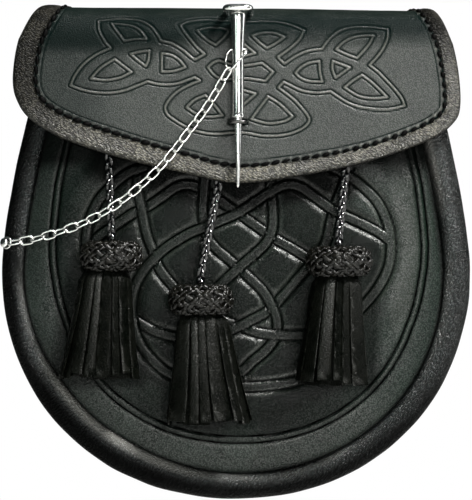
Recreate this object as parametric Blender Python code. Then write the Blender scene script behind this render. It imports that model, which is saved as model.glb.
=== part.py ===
"""A black leather sporran pouch: flap over the top, chained closing pin, three tassels.

Lengths are millimetres and make_object() turns them to metres. +X is to the right seen
from the front, -Y is the front and +Z is up. The origin is on the outer face of the back
panel, midway between the two belt loops, where the pouch hangs.
"""
from collections import namedtuple
from math import cos, pi, radians, sin, sqrt

import bmesh
import bpy
from mathutils import Matrix, Vector

MM = 0.001
SEAT_GAP = 0.3          # left between pieces that rest on each other

# The pouch's outline from the front: a superellipse below its widest row, tapering above.
HALF_WIDTH = 97.7
WIDEST_Z = -79.6
BOTTOM_DROP = 95.4
ROUNDNESS = 2.1
TAPER = 0.02116         # half width lost for each mm of height to the power 1.5

# Depths, from the back panel's outer face at 0 towards the front.
PANEL_WALL = 2.4
GUSSET_WALL = 1.8
RIM_Y = -42.0           # the front panel's outer face at its edge
DOME = 5.6              # how far the front panel's middle stands out from its edge
DOME_POWER = 2.6
MOUTH_Z = 8.0           # top of the gusset, the welt and the front panel
BACK_TOP_Z = 25.0
BACK_INSET = 2.5

# The rolled welt round the front panel.
WELT_Y = -41.0
WELT_HALF_WIDTH = 5.1
WELT_LEAN = 0.6         # it shows this much wider on the right and narrower on the left
WELT_HALF_DEPTH = 4.2
GUSSET_INSET = 4.0
GUSSET_TUCK = 3.0       # how far the gusset's middle is pulled in

# The flap's course from its rear edge, over the top and down the front (outer face).
LEAF_Y = SEAT_GAP + PANEL_WALL
LEAF_BOTTOM_Z = 18.0
REAR_BEND = 5.0
FRONT_BEND = 14.0
TOP_Z = 29.4
FLAP_Y = -55.4
FLAP_TILT = 0.0098      # the flap hangs this much lower for each mm to the right
CURL = 4.5              # the front leaf's sides bend back this far
CURL_AT = 92.0
CURL_POWER = 2.2

# Half of the flap's edge as worn: how far down the leather's length, and left and right.
FlapSide = namedtuple("FlapSide", "station left right")
FLAP_SIDES = (
    FlapSide(0.0, -74.0, 74.0),
    FlapSide(15.0, -78.0, 78.0),
    FlapSide(34.0, -79.2, 79.4),
    FlapSide(50.0, -80.6, 81.3),
    FlapSide(56.0, -82.7, 83.3),
    FlapSide(62.0, -85.4, 85.8),
    FlapSide(68.0, -88.0, 88.0),
    FlapSide(74.0, -90.1, 89.8),
    FlapSide(80.0, -91.6, 91.3),
    FlapSide(86.0, -92.5, 92.4),
    FlapSide(92.0, -92.9, 93.1),
    FlapSide(97.0, -92.4, 93.4),
    FlapSide(101.0, -91.0, 93.3),
    FlapSide(105.0, -88.8, 92.6),
)
FlapEdge = namedtuple("FlapEdge", "across height")
FLAP_LOWER_EDGE = (
    FlapEdge(-85.6, -16.9),
    FlapEdge(-80.6, -20.6),
    FlapEdge(-72.4, -25.0),
    FlapEdge(-61.0, -29.2),
    FlapEdge(-50.6, -32.4),
    FlapEdge(-40.9, -35.1),
    FlapEdge(-21.8, -39.4),
    FlapEdge(-6.0, -43.0),
    FlapEdge(8.0, -43.4),
    FlapEdge(24.0, -41.1),
    FlapEdge(37.7, -38.6),
    FlapEdge(50.3, -35.9),
    FlapEdge(60.0, -33.2),
    FlapEdge(69.8, -29.9),
    FlapEdge(79.8, -25.9),
    FlapEdge(86.6, -22.0),
    FlapEdge(90.5, -18.4),
)
BINDING_HALF_DEPTH = 2.0
BINDING_LEFT = 4.6      # half of the binding's width at the left, in the middle and right
BINDING_MIDDLE = 3.6
BINDING_RIGHT = 3.2
BINDING_START = 14.0    # it starts above the back panel
CORNER_CROWDING = 0.75  # how much closer the flap's columns lie at its corners

# Belt loops.
LOOP_ACROSS = 42.0
LOOP_WIDTH = 20.0
LOOP_HALF_HEIGHT = 17.0
LOOP_FOOT = 5.5
LOOP_ROOM = 5.4         # between the back panel and the loop
LOOP_WALL = 2.2

# Closing pin: sections down its axis, from its neck to its tip.
PIN_ACROSS = 0.8
PIN_Y = -59.2
PinSection = namedtuple("PinSection", "height radius")
PIN_SECTIONS = (
    PinSection(28.9, 1.9),
    PinSection(27.6, 2.1),
    PinSection(27.3, 3.1),
    PinSection(26.6, 3.35),
    PinSection(20.0, 3.05),
    PinSection(10.0, 2.5),
    PinSection(-14.4, 2.5),
    PinSection(-15.0, 2.85),
    PinSection(-16.2, 2.85),
    PinSection(-16.4, 1.65),
    PinSection(-30.0, 1.2),
    PinSection(-44.4, 0.6),
    PinSection(-45.4, 0.25),
)
PIN_SIDES = 16
CROSS_HOLE_Z = 11.7
CROSS_HOLE_RADIUS = 0.8

KEEPER_Z = 29.2
KEEPER_RADIUS = 1.35
KEEPER_HALF_SPAN = 5.0
KEEPER_DROP = 3.2       # its feet go back and down this far, through the flap
KEEPER_LENGTH = 17.0
STAPLE_Z = -18.2
STAPLE_RADIUS = 0.8
STAPLE_HALF_SPAN = 2.85
SLOT_HALF_WIDTH = 4.4
SLOT_HALF_HEIGHT = 1.5

# Chain of oval links in round wire.
WIRE = 0.9
WIRE_SIDES = 6
LINK_COUNT = 24
LINK_LENGTH = 7.0
LINK_WIDTH = 4.5
LINK_ROLL = 40.0        # degrees that every other link is turned from facing forward
CHAIN_TWIST = 24.0      # degrees that the chain turns about itself over its length
ChainPoint = namedtuple("ChainPoint", "across depth height")
CHAIN_ROUTE = (
    ChainPoint(-11.2, -58.8, -10.4),
    ChainPoint(-19.2, -58.4, -21.3),
    ChainPoint(-31.4, -59.2, -36.7),
    ChainPoint(-46.4, -59.2, -50.0),
    ChainPoint(-62.1, -57.4, -59.4),
    ChainPoint(-80.8, -51.6, -65.8),
)
RING_RADIUS = 2.25      # centre line of the round end ring
ANCHOR_Z = -68.2
ANCHOR_OFFSET = 3.1     # from the welt's centre line towards its outer side
ANCHOR_HEAD_RADIUS = 1.95
ANCHOR_POST_RADIUS = 0.8

# The pin's ring, from the pin's axis at the cross hole.
PIN_RING_ROUTE = (
    ChainPoint(0.0, 0.0, 0.0),
    ChainPoint(3.3, -0.5, 0.2),
    ChainPoint(3.1, -2.6, -1.6),
    ChainPoint(0.4, -3.9, -4.6),
    ChainPoint(-2.0, -3.6, -7.4),
    ChainPoint(-3.9, -2.4, -8.4),
    ChainPoint(-5.0, -0.9, -6.6),
    ChainPoint(-4.8, -0.2, -3.0),
    ChainPoint(-3.3, 0.0, -0.2),
)

# Laced hangers and tassels. Heights and places are of the head's middle and of the skirt.
LACE = 3.6
Tassel = namedtuple(
    "Tassel",
    "name hole_across hole_height head_across head_height head_half_width "
    "skirt_top_across skirt_top_half skirt_foot_across skirt_foot_half skirt_foot_height",
)
TASSELS = (
    Tassel("left", -52.9, -22.0, -51.7, -73.8, 13.7, -54.0, 11.4, -56.9, 17.2, -125.4),
    Tassel("middle", -7.0, -32.5, -14.6, -91.9, 14.2, -14.0, 11.2, -11.4, 17.6, -143.8),
    Tassel("right", 46.0, -25.0, 42.7, -76.0, 14.4, 42.0, 11.2, 39.9, 15.6, -127.5),
)
HEAD_HALF_HEIGHT = 6.4
HEAD_DEPTH_RATIO = 0.68
HEAD_SIDES = 14
SKIRT_DEPTH_RATIO = 0.62
STRIPS = 12
STRIP_GROOVE = 0.86     # radius between strips as a share of the radius on them


# ---------------------------------------------------------------- plain helpers

def steps(start, stop, count):
    """count numbers from start to stop, both included."""
    return [start + (stop - start) * index / (count - 1) for index in range(count)]


def smooth_step(value):
    value = min(1.0, max(0.0, value))
    return value * value * (3 - 2 * value)


def resample(points, count):
    """count points at even spacing along a run of points."""
    lengths = [0.0]
    for first, second in zip(points, points[1:]):
        lengths.append(lengths[-1] + (second - first).length)
    result = []
    index = 0
    for wanted in steps(0.0, lengths[-1], count):
        while index < len(points) - 2 and lengths[index + 1] < wanted:
            index += 1
        span = lengths[index + 1] - lengths[index]
        result.append(points[index].lerp(points[index + 1], (wanted - lengths[index]) / span))
    return result


def smooth_curve(knots, per_span=12, closed=False):
    """A Catmull-Rom curve through the knots."""
    count = len(knots)
    result = []
    for index in range(count if closed else count - 1):
        if closed:
            before, start, end, after = (knots[(index + shift) % count] for shift in (-1, 0, 1, 2))
        else:
            start, end = knots[index], knots[index + 1]
            before = knots[index - 1] if index else start * 2 - end
            after = knots[index + 2] if index + 2 < count else end * 2 - start
        for step in range(per_span):
            t = step / per_span
            result.append(
                (start * 2 + (end - before) * t
                 + (before * 2 - start * 5 + end * 4 - after) * t ** 2
                 + (start * 3 - before - end * 3 + after) * t ** 3) * 0.5
            )
    if not closed:
        result.append(knots[-1].copy())
    return result


def tangents(points, closed=False):
    count = len(points)
    result = []
    for index in range(count):
        before = points[index - 1] if closed or index else points[0]
        after = points[(index + 1) % count] if closed or index < count - 1 else points[-1]
        result.append((after - before).normalized())
    return result


def inset(points, distance):
    """Flat points moved to the inside of a run that goes down the left and up the right."""
    moved = []
    for point, tangent in zip(points, tangents(points)):
        reach = distance(point) if callable(distance) else distance
        moved.append(point + Vector((-tangent.y, tangent.x)) * reach)
    return moved


def loft(rings, closed=False):
    """One closed body through rings of points, with flat ends unless it closes on itself."""
    bm = bmesh.new()
    loops = [[bm.verts.new(point) for point in ring] for ring in rings]
    following = loops[1:] + loops[:1] if closed else loops[1:]
    for first, second in zip(loops, following):
        for index in range(len(first)):
            bm.faces.new((first[index - 1], first[index], second[index], second[index - 1]))
    if not closed:
        bm.faces.new(loops[0])
        bm.faces.new(loops[-1])
    bmesh.ops.recalc_face_normals(bm, faces=bm.faces)
    return bm


def frames(points, up, closed=False):
    """Two directions across the run at each point, carried along it without twisting."""
    runs = tangents(points, closed)
    sides = [runs[0].cross(up).normalized()]
    for before, after in zip(runs, runs[1:]):
        sides.append(before.rotation_difference(after) @ sides[-1])
    if closed:
        last = runs[-1].rotation_difference(runs[0]) @ sides[-1]
        twist = last.angle(sides[0])
        if last.cross(sides[0]).dot(runs[0]) < 0:
            twist = -twist
        share = twist / len(runs)
        sides = [Matrix.Rotation(share * index, 3, run) @ side
                 for index, (run, side) in enumerate(zip(runs, sides))]
    return [(side, side.cross(run)) for side, run in zip(sides, runs)]


def tube(points, radius, sides, closed=False, up=Vector((0, 1, 0))):
    """A round tube along the points."""
    rings = []
    for point, (side, over) in zip(points, frames(points, up, closed)):
        rings.append([
            point + (side * cos(turn) + over * sin(turn)) * radius
            for turn in (2 * pi * index / sides for index in range(sides))
        ])
    return loft(rings, closed)


def make_object(name, bm, finish, smooth_angle=40.0):
    """A named object from a mesh in millimetres, with its own material."""
    bmesh.ops.scale(bm, vec=Vector((MM, MM, MM)), verts=bm.verts)
    mesh = bpy.data.meshes.new(name)
    bm.to_mesh(mesh)
    bm.free()
    mesh.shade_smooth()
    mesh.set_sharp_from_angle(angle=radians(smooth_angle))
    return place_mesh(name, mesh, finish)


def place_mesh(name, mesh, finish):
    item = bpy.data.objects.new(name, mesh)
    bpy.context.scene.collection.objects.link(item)
    if not mesh.materials:
        mesh.materials.append(make_material(name, finish))
    return item


Finish = namedtuple("Finish", "color roughness metallic")
SMOOTH_LEATHER = Finish((0.022, 0.022, 0.024, 1.0), 0.45, 0.0)
GRAINED_LEATHER = Finish((0.018, 0.018, 0.019, 1.0), 0.6, 0.0)
CUT_LEATHER = Finish((0.026, 0.023, 0.022, 1.0), 0.7, 0.0)
BRIGHT_NICKEL = Finish((0.72, 0.72, 0.74, 1.0), 0.15, 1.0)
DARK_NICKEL = Finish((0.10, 0.10, 0.11, 1.0), 0.35, 1.0)


def make_material(name, finish):
    material = bpy.data.materials.new(name)
    material.use_nodes = True
    shader = material.node_tree.nodes["Principled BSDF"]
    shader.inputs["Base Color"].default_value = finish.color
    shader.inputs["Roughness"].default_value = finish.roughness
    shader.inputs["Metallic"].default_value = finish.metallic
    return material


def add_wall(item, thickness):
    """Gives a sheet its wall, on the side away from its normals."""
    wall = item.modifiers.new("wall", "SOLIDIFY")
    wall.thickness = thickness * MM
    wall.offset = -1.0
    wall.use_even_offset = True


def cut(item, cutter):
    """Takes the cutter's shape out of the item."""
    cutter.hide_render = True
    cutter.display_type = "WIRE"
    hole = item.modifiers.new("cut", "BOOLEAN")
    hole.operation = "DIFFERENCE"
    hole.solver = "EXACT"
    hole.object = cutter


# ---------------------------------------------------------------- the pouch

def half_width(z):
    if z >= WIDEST_Z:
        return HALF_WIDTH - TAPER * (z - WIDEST_Z) ** 1.5
    share = (WIDEST_Z - z) / BOTTOM_DROP
    return HALF_WIDTH * max(0.0, 1 - share ** ROUNDNESS) ** (1 / ROUNDNESS)


def body_outline(top_z, count):
    """The outline from the top left, down, round the bottom and up to the top right."""
    left = [Vector((-half_width(z), z)) for z in steps(top_z, WIDEST_Z, 40)]
    for turn in steps(0.0, pi / 2, 80)[1:]:
        across = HALF_WIDTH * max(0.0, cos(turn)) ** (2 / ROUNDNESS)
        left.append(Vector((-across, WIDEST_Z - BOTTOM_DROP * sin(turn) ** (2 / ROUNDNESS))))
    right = [Vector((-point.x, point.y)) for point in reversed(left[:-1])]
    return resample(left + right, count)


def closeness_to_edge(across, height):
    """0 on the middle line, 1 on the outline."""
    if height >= WIDEST_Z:
        return abs(across) / half_width(height)
    sideways = (abs(across) / HALF_WIDTH) ** ROUNDNESS
    down = ((WIDEST_Z - height) / BOTTOM_DROP) ** ROUNDNESS
    return (sideways + down) ** (1 / ROUNDNESS)


def welt_reach(point):
    """Half of the welt's width at a point of the outline."""
    return WELT_HALF_WIDTH + WELT_LEAN * point.x / HALF_WIDTH


def front_depth(across, height):
    """Y of the front panel's outer face."""
    edge = 1 - 2 * WELT_HALF_WIDTH / HALF_WIDTH
    share = min(1.0, closeness_to_edge(across, height) / edge)
    return RIM_Y - DOME * (1 - share ** DOME_POWER)


def back_panel():
    edge = inset(body_outline(BACK_TOP_Z, 44), BACK_INSET)
    bm = bmesh.new()
    face = bm.faces.new([bm.verts.new((point.x, 0.0, point.y)) for point in edge])
    face.normal_update()
    if face.normal.y < 0:
        face.normal_flip()
    add_wall(make_object("back_panel", bm, SMOOTH_LEATHER), PANEL_WALL)


def gusset():
    """A band whose outer face runs from the back panel to the welt, pulled in between."""
    front = WELT_Y + WELT_HALF_DEPTH + SEAT_GAP
    back = -PANEL_WALL - SEAT_GAP
    depths = steps(front, back, 5)
    rows = [(y, GUSSET_INSET + GUSSET_TUCK * sin(pi * (y - front) / (back - front))) for y in depths]
    section = rows + [(y, reach + GUSSET_WALL) for y, reach in reversed(rows)]
    edge = body_outline(MOUTH_Z, 42)
    rings = []
    for point, tangent in zip(edge, tangents(edge)):
        inside = Vector((-tangent.y, tangent.x))
        ring = []
        for depth, reach in section:
            flat = point + inside * reach
            ring.append(Vector((flat.x, depth, flat.y)))
        rings.append(ring)
    make_object("gusset", loft(rings), SMOOTH_LEATHER, 50.0)


def front_welt():
    edge = body_outline(MOUTH_Z, 46)
    rings = []
    for point, tangent in zip(edge, tangents(edge)):
        inside = Vector((-tangent.y, tangent.x))
        reach = welt_reach(point)
        ring = []
        for turn in (2 * pi * index / 12 for index in range(12)):
            flat = point + inside * reach * (1 + cos(turn))
            ring.append(Vector((flat.x, WELT_Y + WELT_HALF_DEPTH * sin(turn), flat.y)))
        rings.append(ring)
    make_object("front_welt", loft(rings), GRAINED_LEATHER, 60.0)


def front_panel():
    """Rings from the welt to the middle, each point at the dome's depth, then given a wall."""
    edge = inset(body_outline(MOUTH_Z, 40), lambda point: 2 * welt_reach(point) + SEAT_GAP)
    top = [edge[-1].lerp(edge[0], share) for share in steps(0.0, 1.0, 9)[1:-1]]
    edge += top
    middle = Vector((0.0, WIDEST_Z + 20.0))
    bm = bmesh.new()
    loops = []
    for share in (1.0, 0.84, 0.66, 0.46, 0.24):
        flat_ring = [middle.lerp(point, share) for point in edge]
        loops.append([bm.verts.new((p.x, front_depth(p.x, p.y), p.y)) for p in flat_ring])
    for outer, inner in zip(loops, loops[1:]):
        for index in range(len(outer)):
            bm.faces.new((outer[index - 1], outer[index], inner[index], inner[index - 1]))
    centre = bm.verts.new((middle.x, front_depth(middle.x, middle.y), middle.y))
    for index in range(len(edge)):
        bm.faces.new((loops[-1][index - 1], loops[-1][index], centre))
    bmesh.ops.recalc_face_normals(bm, faces=bm.faces)
    if sum(face.normal.y for face in bm.faces) > 0:
        bmesh.ops.reverse_faces(bm, faces=bm.faces)
    panel = make_object("front_panel", bm, SMOOTH_LEATHER)
    add_wall(panel, PANEL_WALL)
    for tassel in TASSELS:
        hole = tube(hanger_route(tassel)[:9], LACE / 2 + SEAT_GAP, 8, up=Vector((1, 0, 0)))
        cut(panel, make_object(f"lace_hole_{tassel.name}", hole, SMOOTH_LEATHER))


def belt_loops():
    """A strap bent to a low arch, its two feet on the back panel."""
    foot_top = SEAT_GAP + LOOP_WALL
    room_top = LOOP_ROOM
    crest = LOOP_ROOM + LOOP_WALL
    half = LOOP_HALF_HEIGHT
    inner = half - LOOP_FOOT
    slope = 1.4
    upper = [(SEAT_GAP, half), (foot_top, half), (crest, inner + slope)]
    under = [(SEAT_GAP, inner), (room_top, inner - slope)]
    profile = upper + [(y, -z) for y, z in reversed(upper)]
    profile += [(y, -z) for y, z in under] + [(y, z) for y, z in reversed(under)]
    for name, across in (("belt_loop_left", -LOOP_ACROSS), ("belt_loop_right", LOOP_ACROSS)):
        sides = (across - LOOP_WIDTH / 2, across + LOOP_WIDTH / 2)
        rings = [[Vector((x, y, z)) for y, z in profile] for x in sides]
        make_object(name, loft(rings), SMOOTH_LEATHER, 30.0)


# ---------------------------------------------------------------- the flap

LEAF_LENGTH = TOP_Z - REAR_BEND - LEAF_BOTTOM_Z
TOP_START = LEAF_LENGTH + REAR_BEND * pi / 2
TOP_END = TOP_START + LEAF_Y - REAR_BEND - (FLAP_Y + FRONT_BEND)
FRONT_START = TOP_END + FRONT_BEND * pi / 2


def flap_course(station):
    """Depth, height and outward direction of the flap's outer face along its length."""
    if station <= LEAF_LENGTH:
        return Vector((LEAF_Y, LEAF_BOTTOM_Z + station)), Vector((1, 0))
    if station <= TOP_START:
        turn = (station - LEAF_LENGTH) / REAR_BEND
        out = Vector((cos(turn), sin(turn)))
        return Vector((LEAF_Y - REAR_BEND, TOP_Z - REAR_BEND)) + out * REAR_BEND, out
    if station <= TOP_END:
        return Vector((LEAF_Y - REAR_BEND - (station - TOP_START), TOP_Z)), Vector((0, 1))
    if station <= FRONT_START:
        turn = (station - TOP_END) / FRONT_BEND
        out = Vector((-sin(turn), cos(turn)))
        return Vector((FLAP_Y + FRONT_BEND, TOP_Z - FRONT_BEND)) + out * FRONT_BEND, out
    return Vector((FLAP_Y, TOP_Z - FRONT_BEND - (station - FRONT_START))), Vector((-1, 0))


def flap_point(across, station, lift=0.0):
    """A place on the flap's outer face, or lift above it."""
    place, out = flap_course(station)
    weight = smooth_step((station - TOP_END) / (FRONT_START - TOP_END))
    sink = CURL * weight * (abs(across) / CURL_AT) ** CURL_POWER
    place = place + out * (lift - sink)
    return Vector((across, place.x, place.y - FLAP_TILT * across))


def front_station(across, height):
    """Station of a place on the front leaf, from its height."""
    return FRONT_START + TOP_Z - FRONT_BEND - height - FLAP_TILT * across


def flap_edges():
    """The flap's flat outline in three runs: left side, lower edge and right side."""
    lower = [Vector((row.across, front_station(*row))) for row in FLAP_LOWER_EDGE]
    left = [Vector((row.left, row.station)) for row in FLAP_SIDES]
    right = [Vector((row.right, row.station)) for row in reversed(FLAP_SIDES)]
    knots = left + lower + right
    curve = smooth_curve(knots, 8)
    return curve, len(left) * 8, (len(left) + len(lower) - 1) * 8


def binding_reach(point):
    """Half of the binding's width beside a point of the flap's edge."""
    end = BINDING_LEFT if point.x < 0 else BINDING_RIGHT
    return BINDING_MIDDLE + (end - BINDING_MIDDLE) * smooth_step(abs(point.x) / 60.0)


def flat_inset(points, reach):
    """The flap's outline moved inwards by a distance that changes along it."""
    moved = []
    for point, tangent in zip(points, tangents(points)):
        moved.append(point + Vector((tangent.y, -tangent.x)) * reach(point))
    return moved


def flap():
    curve, corner_left, corner_right = flap_edges()
    edge = flat_inset(curve, lambda point: 2 * binding_reach(point) + SEAT_GAP)
    left, lower, right = edge[:corner_left + 1], edge[corner_left:corner_right + 1], edge[corner_right:]
    shares = [share + CORNER_CROWDING * (0.5 - 0.5 * cos(pi * share) - share) for share in steps(0.0, 1.0, 16)]
    leaf_rows = [0.0, LEAF_LENGTH]
    rear_rows = steps(LEAF_LENGTH, TOP_START, 4)[1:]
    top_rows = steps(TOP_START, TOP_END, 3)[1:]
    bend_rows = steps(TOP_END, FRONT_START, 6)[1:]
    front_rows = steps(FRONT_START, min(left[-1].y, right[0].y), 6)[1:-1]
    rows = []
    for station in leaf_rows + rear_rows + top_rows + bend_rows + front_rows:
        ends = [across_at(run, station) for run in (left, right)]
        rows.append([Vector((ends[0] + (ends[1] - ends[0]) * share, station)) for share in shares])
    chord = [left[-1].lerp(right[0], share) for share in shares]
    foot = resample(lower, 201)
    foot = [foot[round(share * 200)] for share in shares]
    for share in steps(0.0, 1.0, 5):
        rows.append([top.lerp(bottom, share) for top, bottom in zip(chord, foot)])
    bm = bmesh.new()
    grid = [[bm.verts.new(flap_point(p.x, p.y)) for p in row] for row in rows]
    for above, below in zip(grid, grid[1:]):
        for index in range(len(shares) - 1):
            bm.faces.new((above[index], below[index], below[index + 1], above[index + 1]))
    bmesh.ops.remove_doubles(bm, verts=bm.verts, dist=0.01)
    bmesh.ops.recalc_face_normals(bm, faces=bm.faces)
    lowest = min(bm.faces, key=lambda face: face.calc_center_median().z)
    if lowest.normal.y > 0:
        bmesh.ops.reverse_faces(bm, faces=bm.faces)
    leather = make_object("flap", bm, SMOOTH_LEATHER)
    add_wall(leather, PANEL_WALL)
    slot = bmesh.new()
    bmesh.ops.create_cube(slot, size=1.0)
    size = Vector((2 * SLOT_HALF_WIDTH, 12.0, 2 * SLOT_HALF_HEIGHT))
    bmesh.ops.scale(slot, vec=size, verts=slot.verts)
    bmesh.ops.translate(slot, vec=Vector((PIN_ACROSS, FLAP_Y, STAPLE_Z)), verts=slot.verts)
    cut(leather, make_object("staple_slot", slot, SMOOTH_LEATHER))
    cut(leather, make_object("keeper_holes", keeper_tube(KEEPER_RADIUS + SEAT_GAP), SMOOTH_LEATHER))


def across_at(run, station):
    """Where a side of the outline crosses a station."""
    for first, second in zip(run, run[1:]):
        low, high = sorted((first.y, second.y))
        if low <= station <= high and high > low:
            return first.lerp(second, (station - first.y) / (second.y - first.y)).x
    nearest = min(run, key=lambda point: abs(point.y - station))
    return nearest.x


def flap_binding():
    curve, _, _ = flap_edges()
    middle = flat_inset(curve, binding_reach)
    kept = [(edge, core) for edge, core in zip(curve, middle) if core.y >= BINDING_START]
    path = resample([core for _, core in kept], 64)
    bend = -PANEL_WALL / 2
    rings = []
    for core, tangent in zip(path, tangents(path)):
        side = Vector((tangent.y, -tangent.x))
        reach = binding_reach(core)
        ring = []
        for turn in (2 * pi * index / 8 for index in range(8)):
            flat = core + side * reach * cos(turn)
            ring.append(flap_point(flat.x, flat.y, bend + BINDING_HALF_DEPTH * sin(turn)))
        rings.append(ring)
    make_object("flap_binding", loft(rings), GRAINED_LEATHER, 60.0)


# ---------------------------------------------------------------- the closure

def closure_pin():
    rings = []
    for section in PIN_SECTIONS:
        rings.append([
            Vector((PIN_ACROSS + section.radius * cos(turn), PIN_Y + section.radius * sin(turn), section.height))
            for turn in (2 * pi * index / PIN_SIDES for index in range(PIN_SIDES))
        ])
    pin = make_object("closure_pin", loft(rings), BRIGHT_NICKEL)
    reach = Vector((8.0, 0.0, 0.0))
    middle = Vector((PIN_ACROSS, PIN_Y, CROSS_HOLE_Z))
    hole = tube([middle - reach, middle + reach], CROSS_HOLE_RADIUS, 10)
    cut(pin, make_object("cross_hole", hole, BRIGHT_NICKEL))


def staple_route(half_span, bar, foot, corner):
    """A staple's centre line: in from one foot, round two corners and back. Bar and foot are (y, z)."""
    along = (bar - foot).normalized()
    turn_start = bar - along * corner
    half = [Vector((-half_span, *foot)), Vector((-half_span, *turn_start))]
    for turn in steps(0.0, pi / 2, 4)[1:]:
        side = turn_start + along * corner * sin(turn)
        half.append(Vector((corner * (1 - cos(turn)) - half_span, *side)))
    other = [Vector((-point.x, point.y, point.z)) for point in reversed(half)]
    return [point + Vector((PIN_ACROSS, 0, 0)) for point in half + other]


def keeper_tube(radius):
    bar = Vector((PIN_Y - PIN_SECTIONS[0].radius - SEAT_GAP - KEEPER_RADIUS, KEEPER_Z))
    foot = bar + Vector((KEEPER_LENGTH, -KEEPER_DROP))
    route = staple_route(KEEPER_HALF_SPAN, bar, foot, 2.4)
    return tube(route, radius, 10, up=Vector((0, 0, 1)))


def pin_keeper():
    make_object("pin_keeper", keeper_tube(KEEPER_RADIUS), BRIGHT_NICKEL)


def closure_staple():
    spike = PIN_SECTIONS[9].radius
    bar = Vector((PIN_Y - spike - SEAT_GAP - STAPLE_RADIUS, STAPLE_Z))
    foot = Vector((front_depth(PIN_ACROSS, STAPLE_Z) - SEAT_GAP, STAPLE_Z))
    route = staple_route(STAPLE_HALF_SPAN, bar, foot, 1.4)
    make_object("closure_staple", tube(route, STAPLE_RADIUS, 8, up=Vector((0, 0, 1))), DARK_NICKEL)


# ---------------------------------------------------------------- the chain

def pin_ring_line():
    middle = Vector((PIN_ACROSS, PIN_Y, CROSS_HOLE_Z))
    knots = [middle + Vector(point) for point in PIN_RING_ROUTE]
    return smooth_curve(knots, 4, closed=True)


def anchor_frame():
    """The rivet's seat on the welt, the welt's outward direction there and the way along it."""
    reach = welt_reach(Vector((-HALF_WIDTH, 0)))
    across = -half_width(ANCHOR_Z) + reach - ANCHOR_OFFSET
    rise = WELT_HALF_DEPTH * sqrt(1 - (ANCHOR_OFFSET / reach) ** 2)
    out = Vector((-ANCHOR_OFFSET / reach ** 2, -rise / WELT_HALF_DEPTH ** 2, 0)).normalized()
    inward = Vector((-out.y, out.x, 0))
    return Vector((across, WELT_Y - rise, ANCHOR_Z)), out, inward


def chain_ring_centre():
    seat, out, inward = anchor_frame()
    return seat + out * (SEAT_GAP + WIRE * 0.75) + inward * (RING_RADIUS - WIRE / 2 - ANCHOR_POST_RADIUS - 0.1)


def chain_path():
    """The line that the links follow, from the pin's ring to the round end ring."""
    lowest = min(pin_ring_line(), key=lambda point: point.z)
    _, _, inward = anchor_frame()
    end = chain_ring_centre() + inward * RING_RADIUS
    knots = [lowest] + [Vector(point) for point in CHAIN_ROUTE] + [end]
    return smooth_curve(knots, 24)


def link_mesh():
    """One oval link in metres, along X, lying flat."""
    bend = (LINK_WIDTH - WIRE) / 2
    straight = (LINK_LENGTH - WIRE) / 2 - bend
    line = []
    for side in (1, -1):
        for turn in steps(-pi / 2, pi / 2, 5):
            line.append(Vector((side * (straight + bend * cos(turn)), side * bend * sin(turn), 0)))
    return tube(line, WIRE / 2, WIRE_SIDES, closed=True, up=Vector((0, 0, 1)))


def chain():
    path = chain_path()
    lengths = [0.0]
    for first, second in zip(path, path[1:]):
        lengths.append(lengths[-1] + (second - first).length)
    overlap = (LINK_LENGTH - WIRE) / 2 - WIRE - SEAT_GAP / 2
    pitch = (lengths[-1] - 2 * overlap) / (LINK_COUNT - 1)
    even = resample(path, 400)
    step = lengths[-1] / 399
    shared = None
    for number in range(LINK_COUNT):
        place = overlap + pitch * number
        index = min(398, int(place / step))
        centre = even[index].lerp(even[index + 1], place / step - index)
        along = (even[min(399, index + 6)] - even[max(0, index - 6)]).normalized()
        facing = Vector((0, -1, 0))
        facing = (facing - along * facing.dot(along)).normalized()
        roll = LINK_ROLL - (0 if number % 2 else 90) + CHAIN_TWIST * number / (LINK_COUNT - 1)
        facing = Matrix.Rotation(radians(roll), 3, along) @ facing
        across = facing.cross(along)
        name = f"chain_link_{number + 1:02d}"
        if shared is None:
            item = make_object(name, link_mesh(), BRIGHT_NICKEL, 80.0)
            shared = item.data
        else:
            item = place_mesh(name, shared, BRIGHT_NICKEL)
        turn = Matrix((along, across, facing)).transposed().to_4x4()
        item.matrix_world = Matrix.Translation(centre * MM) @ turn


def end_ring_and_anchor():
    seat, out, inward = anchor_frame()
    middle = chain_ring_centre()
    upward = Vector((0, 0, 1))
    line = [
        middle + (inward * cos(turn) + upward * sin(turn)) * RING_RADIUS
        for turn in (2 * pi * index / 12 for index in range(12))
    ]
    make_object("chain_ring", tube(line, WIRE / 2, WIRE_SIDES, closed=True, up=out), BRIGHT_NICKEL, 80.0)
    head = SEAT_GAP + WIRE * 1.25 + SEAT_GAP
    sections = ((SEAT_GAP, ANCHOR_POST_RADIUS), (head, ANCHOR_POST_RADIUS), (head, ANCHOR_HEAD_RADIUS),
                (head + 0.5, ANCHOR_HEAD_RADIUS), (head + 1.0, ANCHOR_HEAD_RADIUS * 0.6))
    rings = []
    for rise, radius in sections:
        rings.append([
            seat + out * rise + (inward * cos(turn) + upward * sin(turn)) * radius
            for turn in (2 * pi * index / 12 for index in range(12))
        ])
    make_object("chain_anchor", loft(rings), BRIGHT_NICKEL)


# ---------------------------------------------------------------- the tassels

def head_depth(tassel):
    """Y of a tassel's middle: its head's back lies on the front panel."""
    half_depth = tassel.head_half_width * HEAD_DEPTH_RATIO
    return front_depth(tassel.head_across, tassel.head_height) - half_depth - SEAT_GAP


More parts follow.
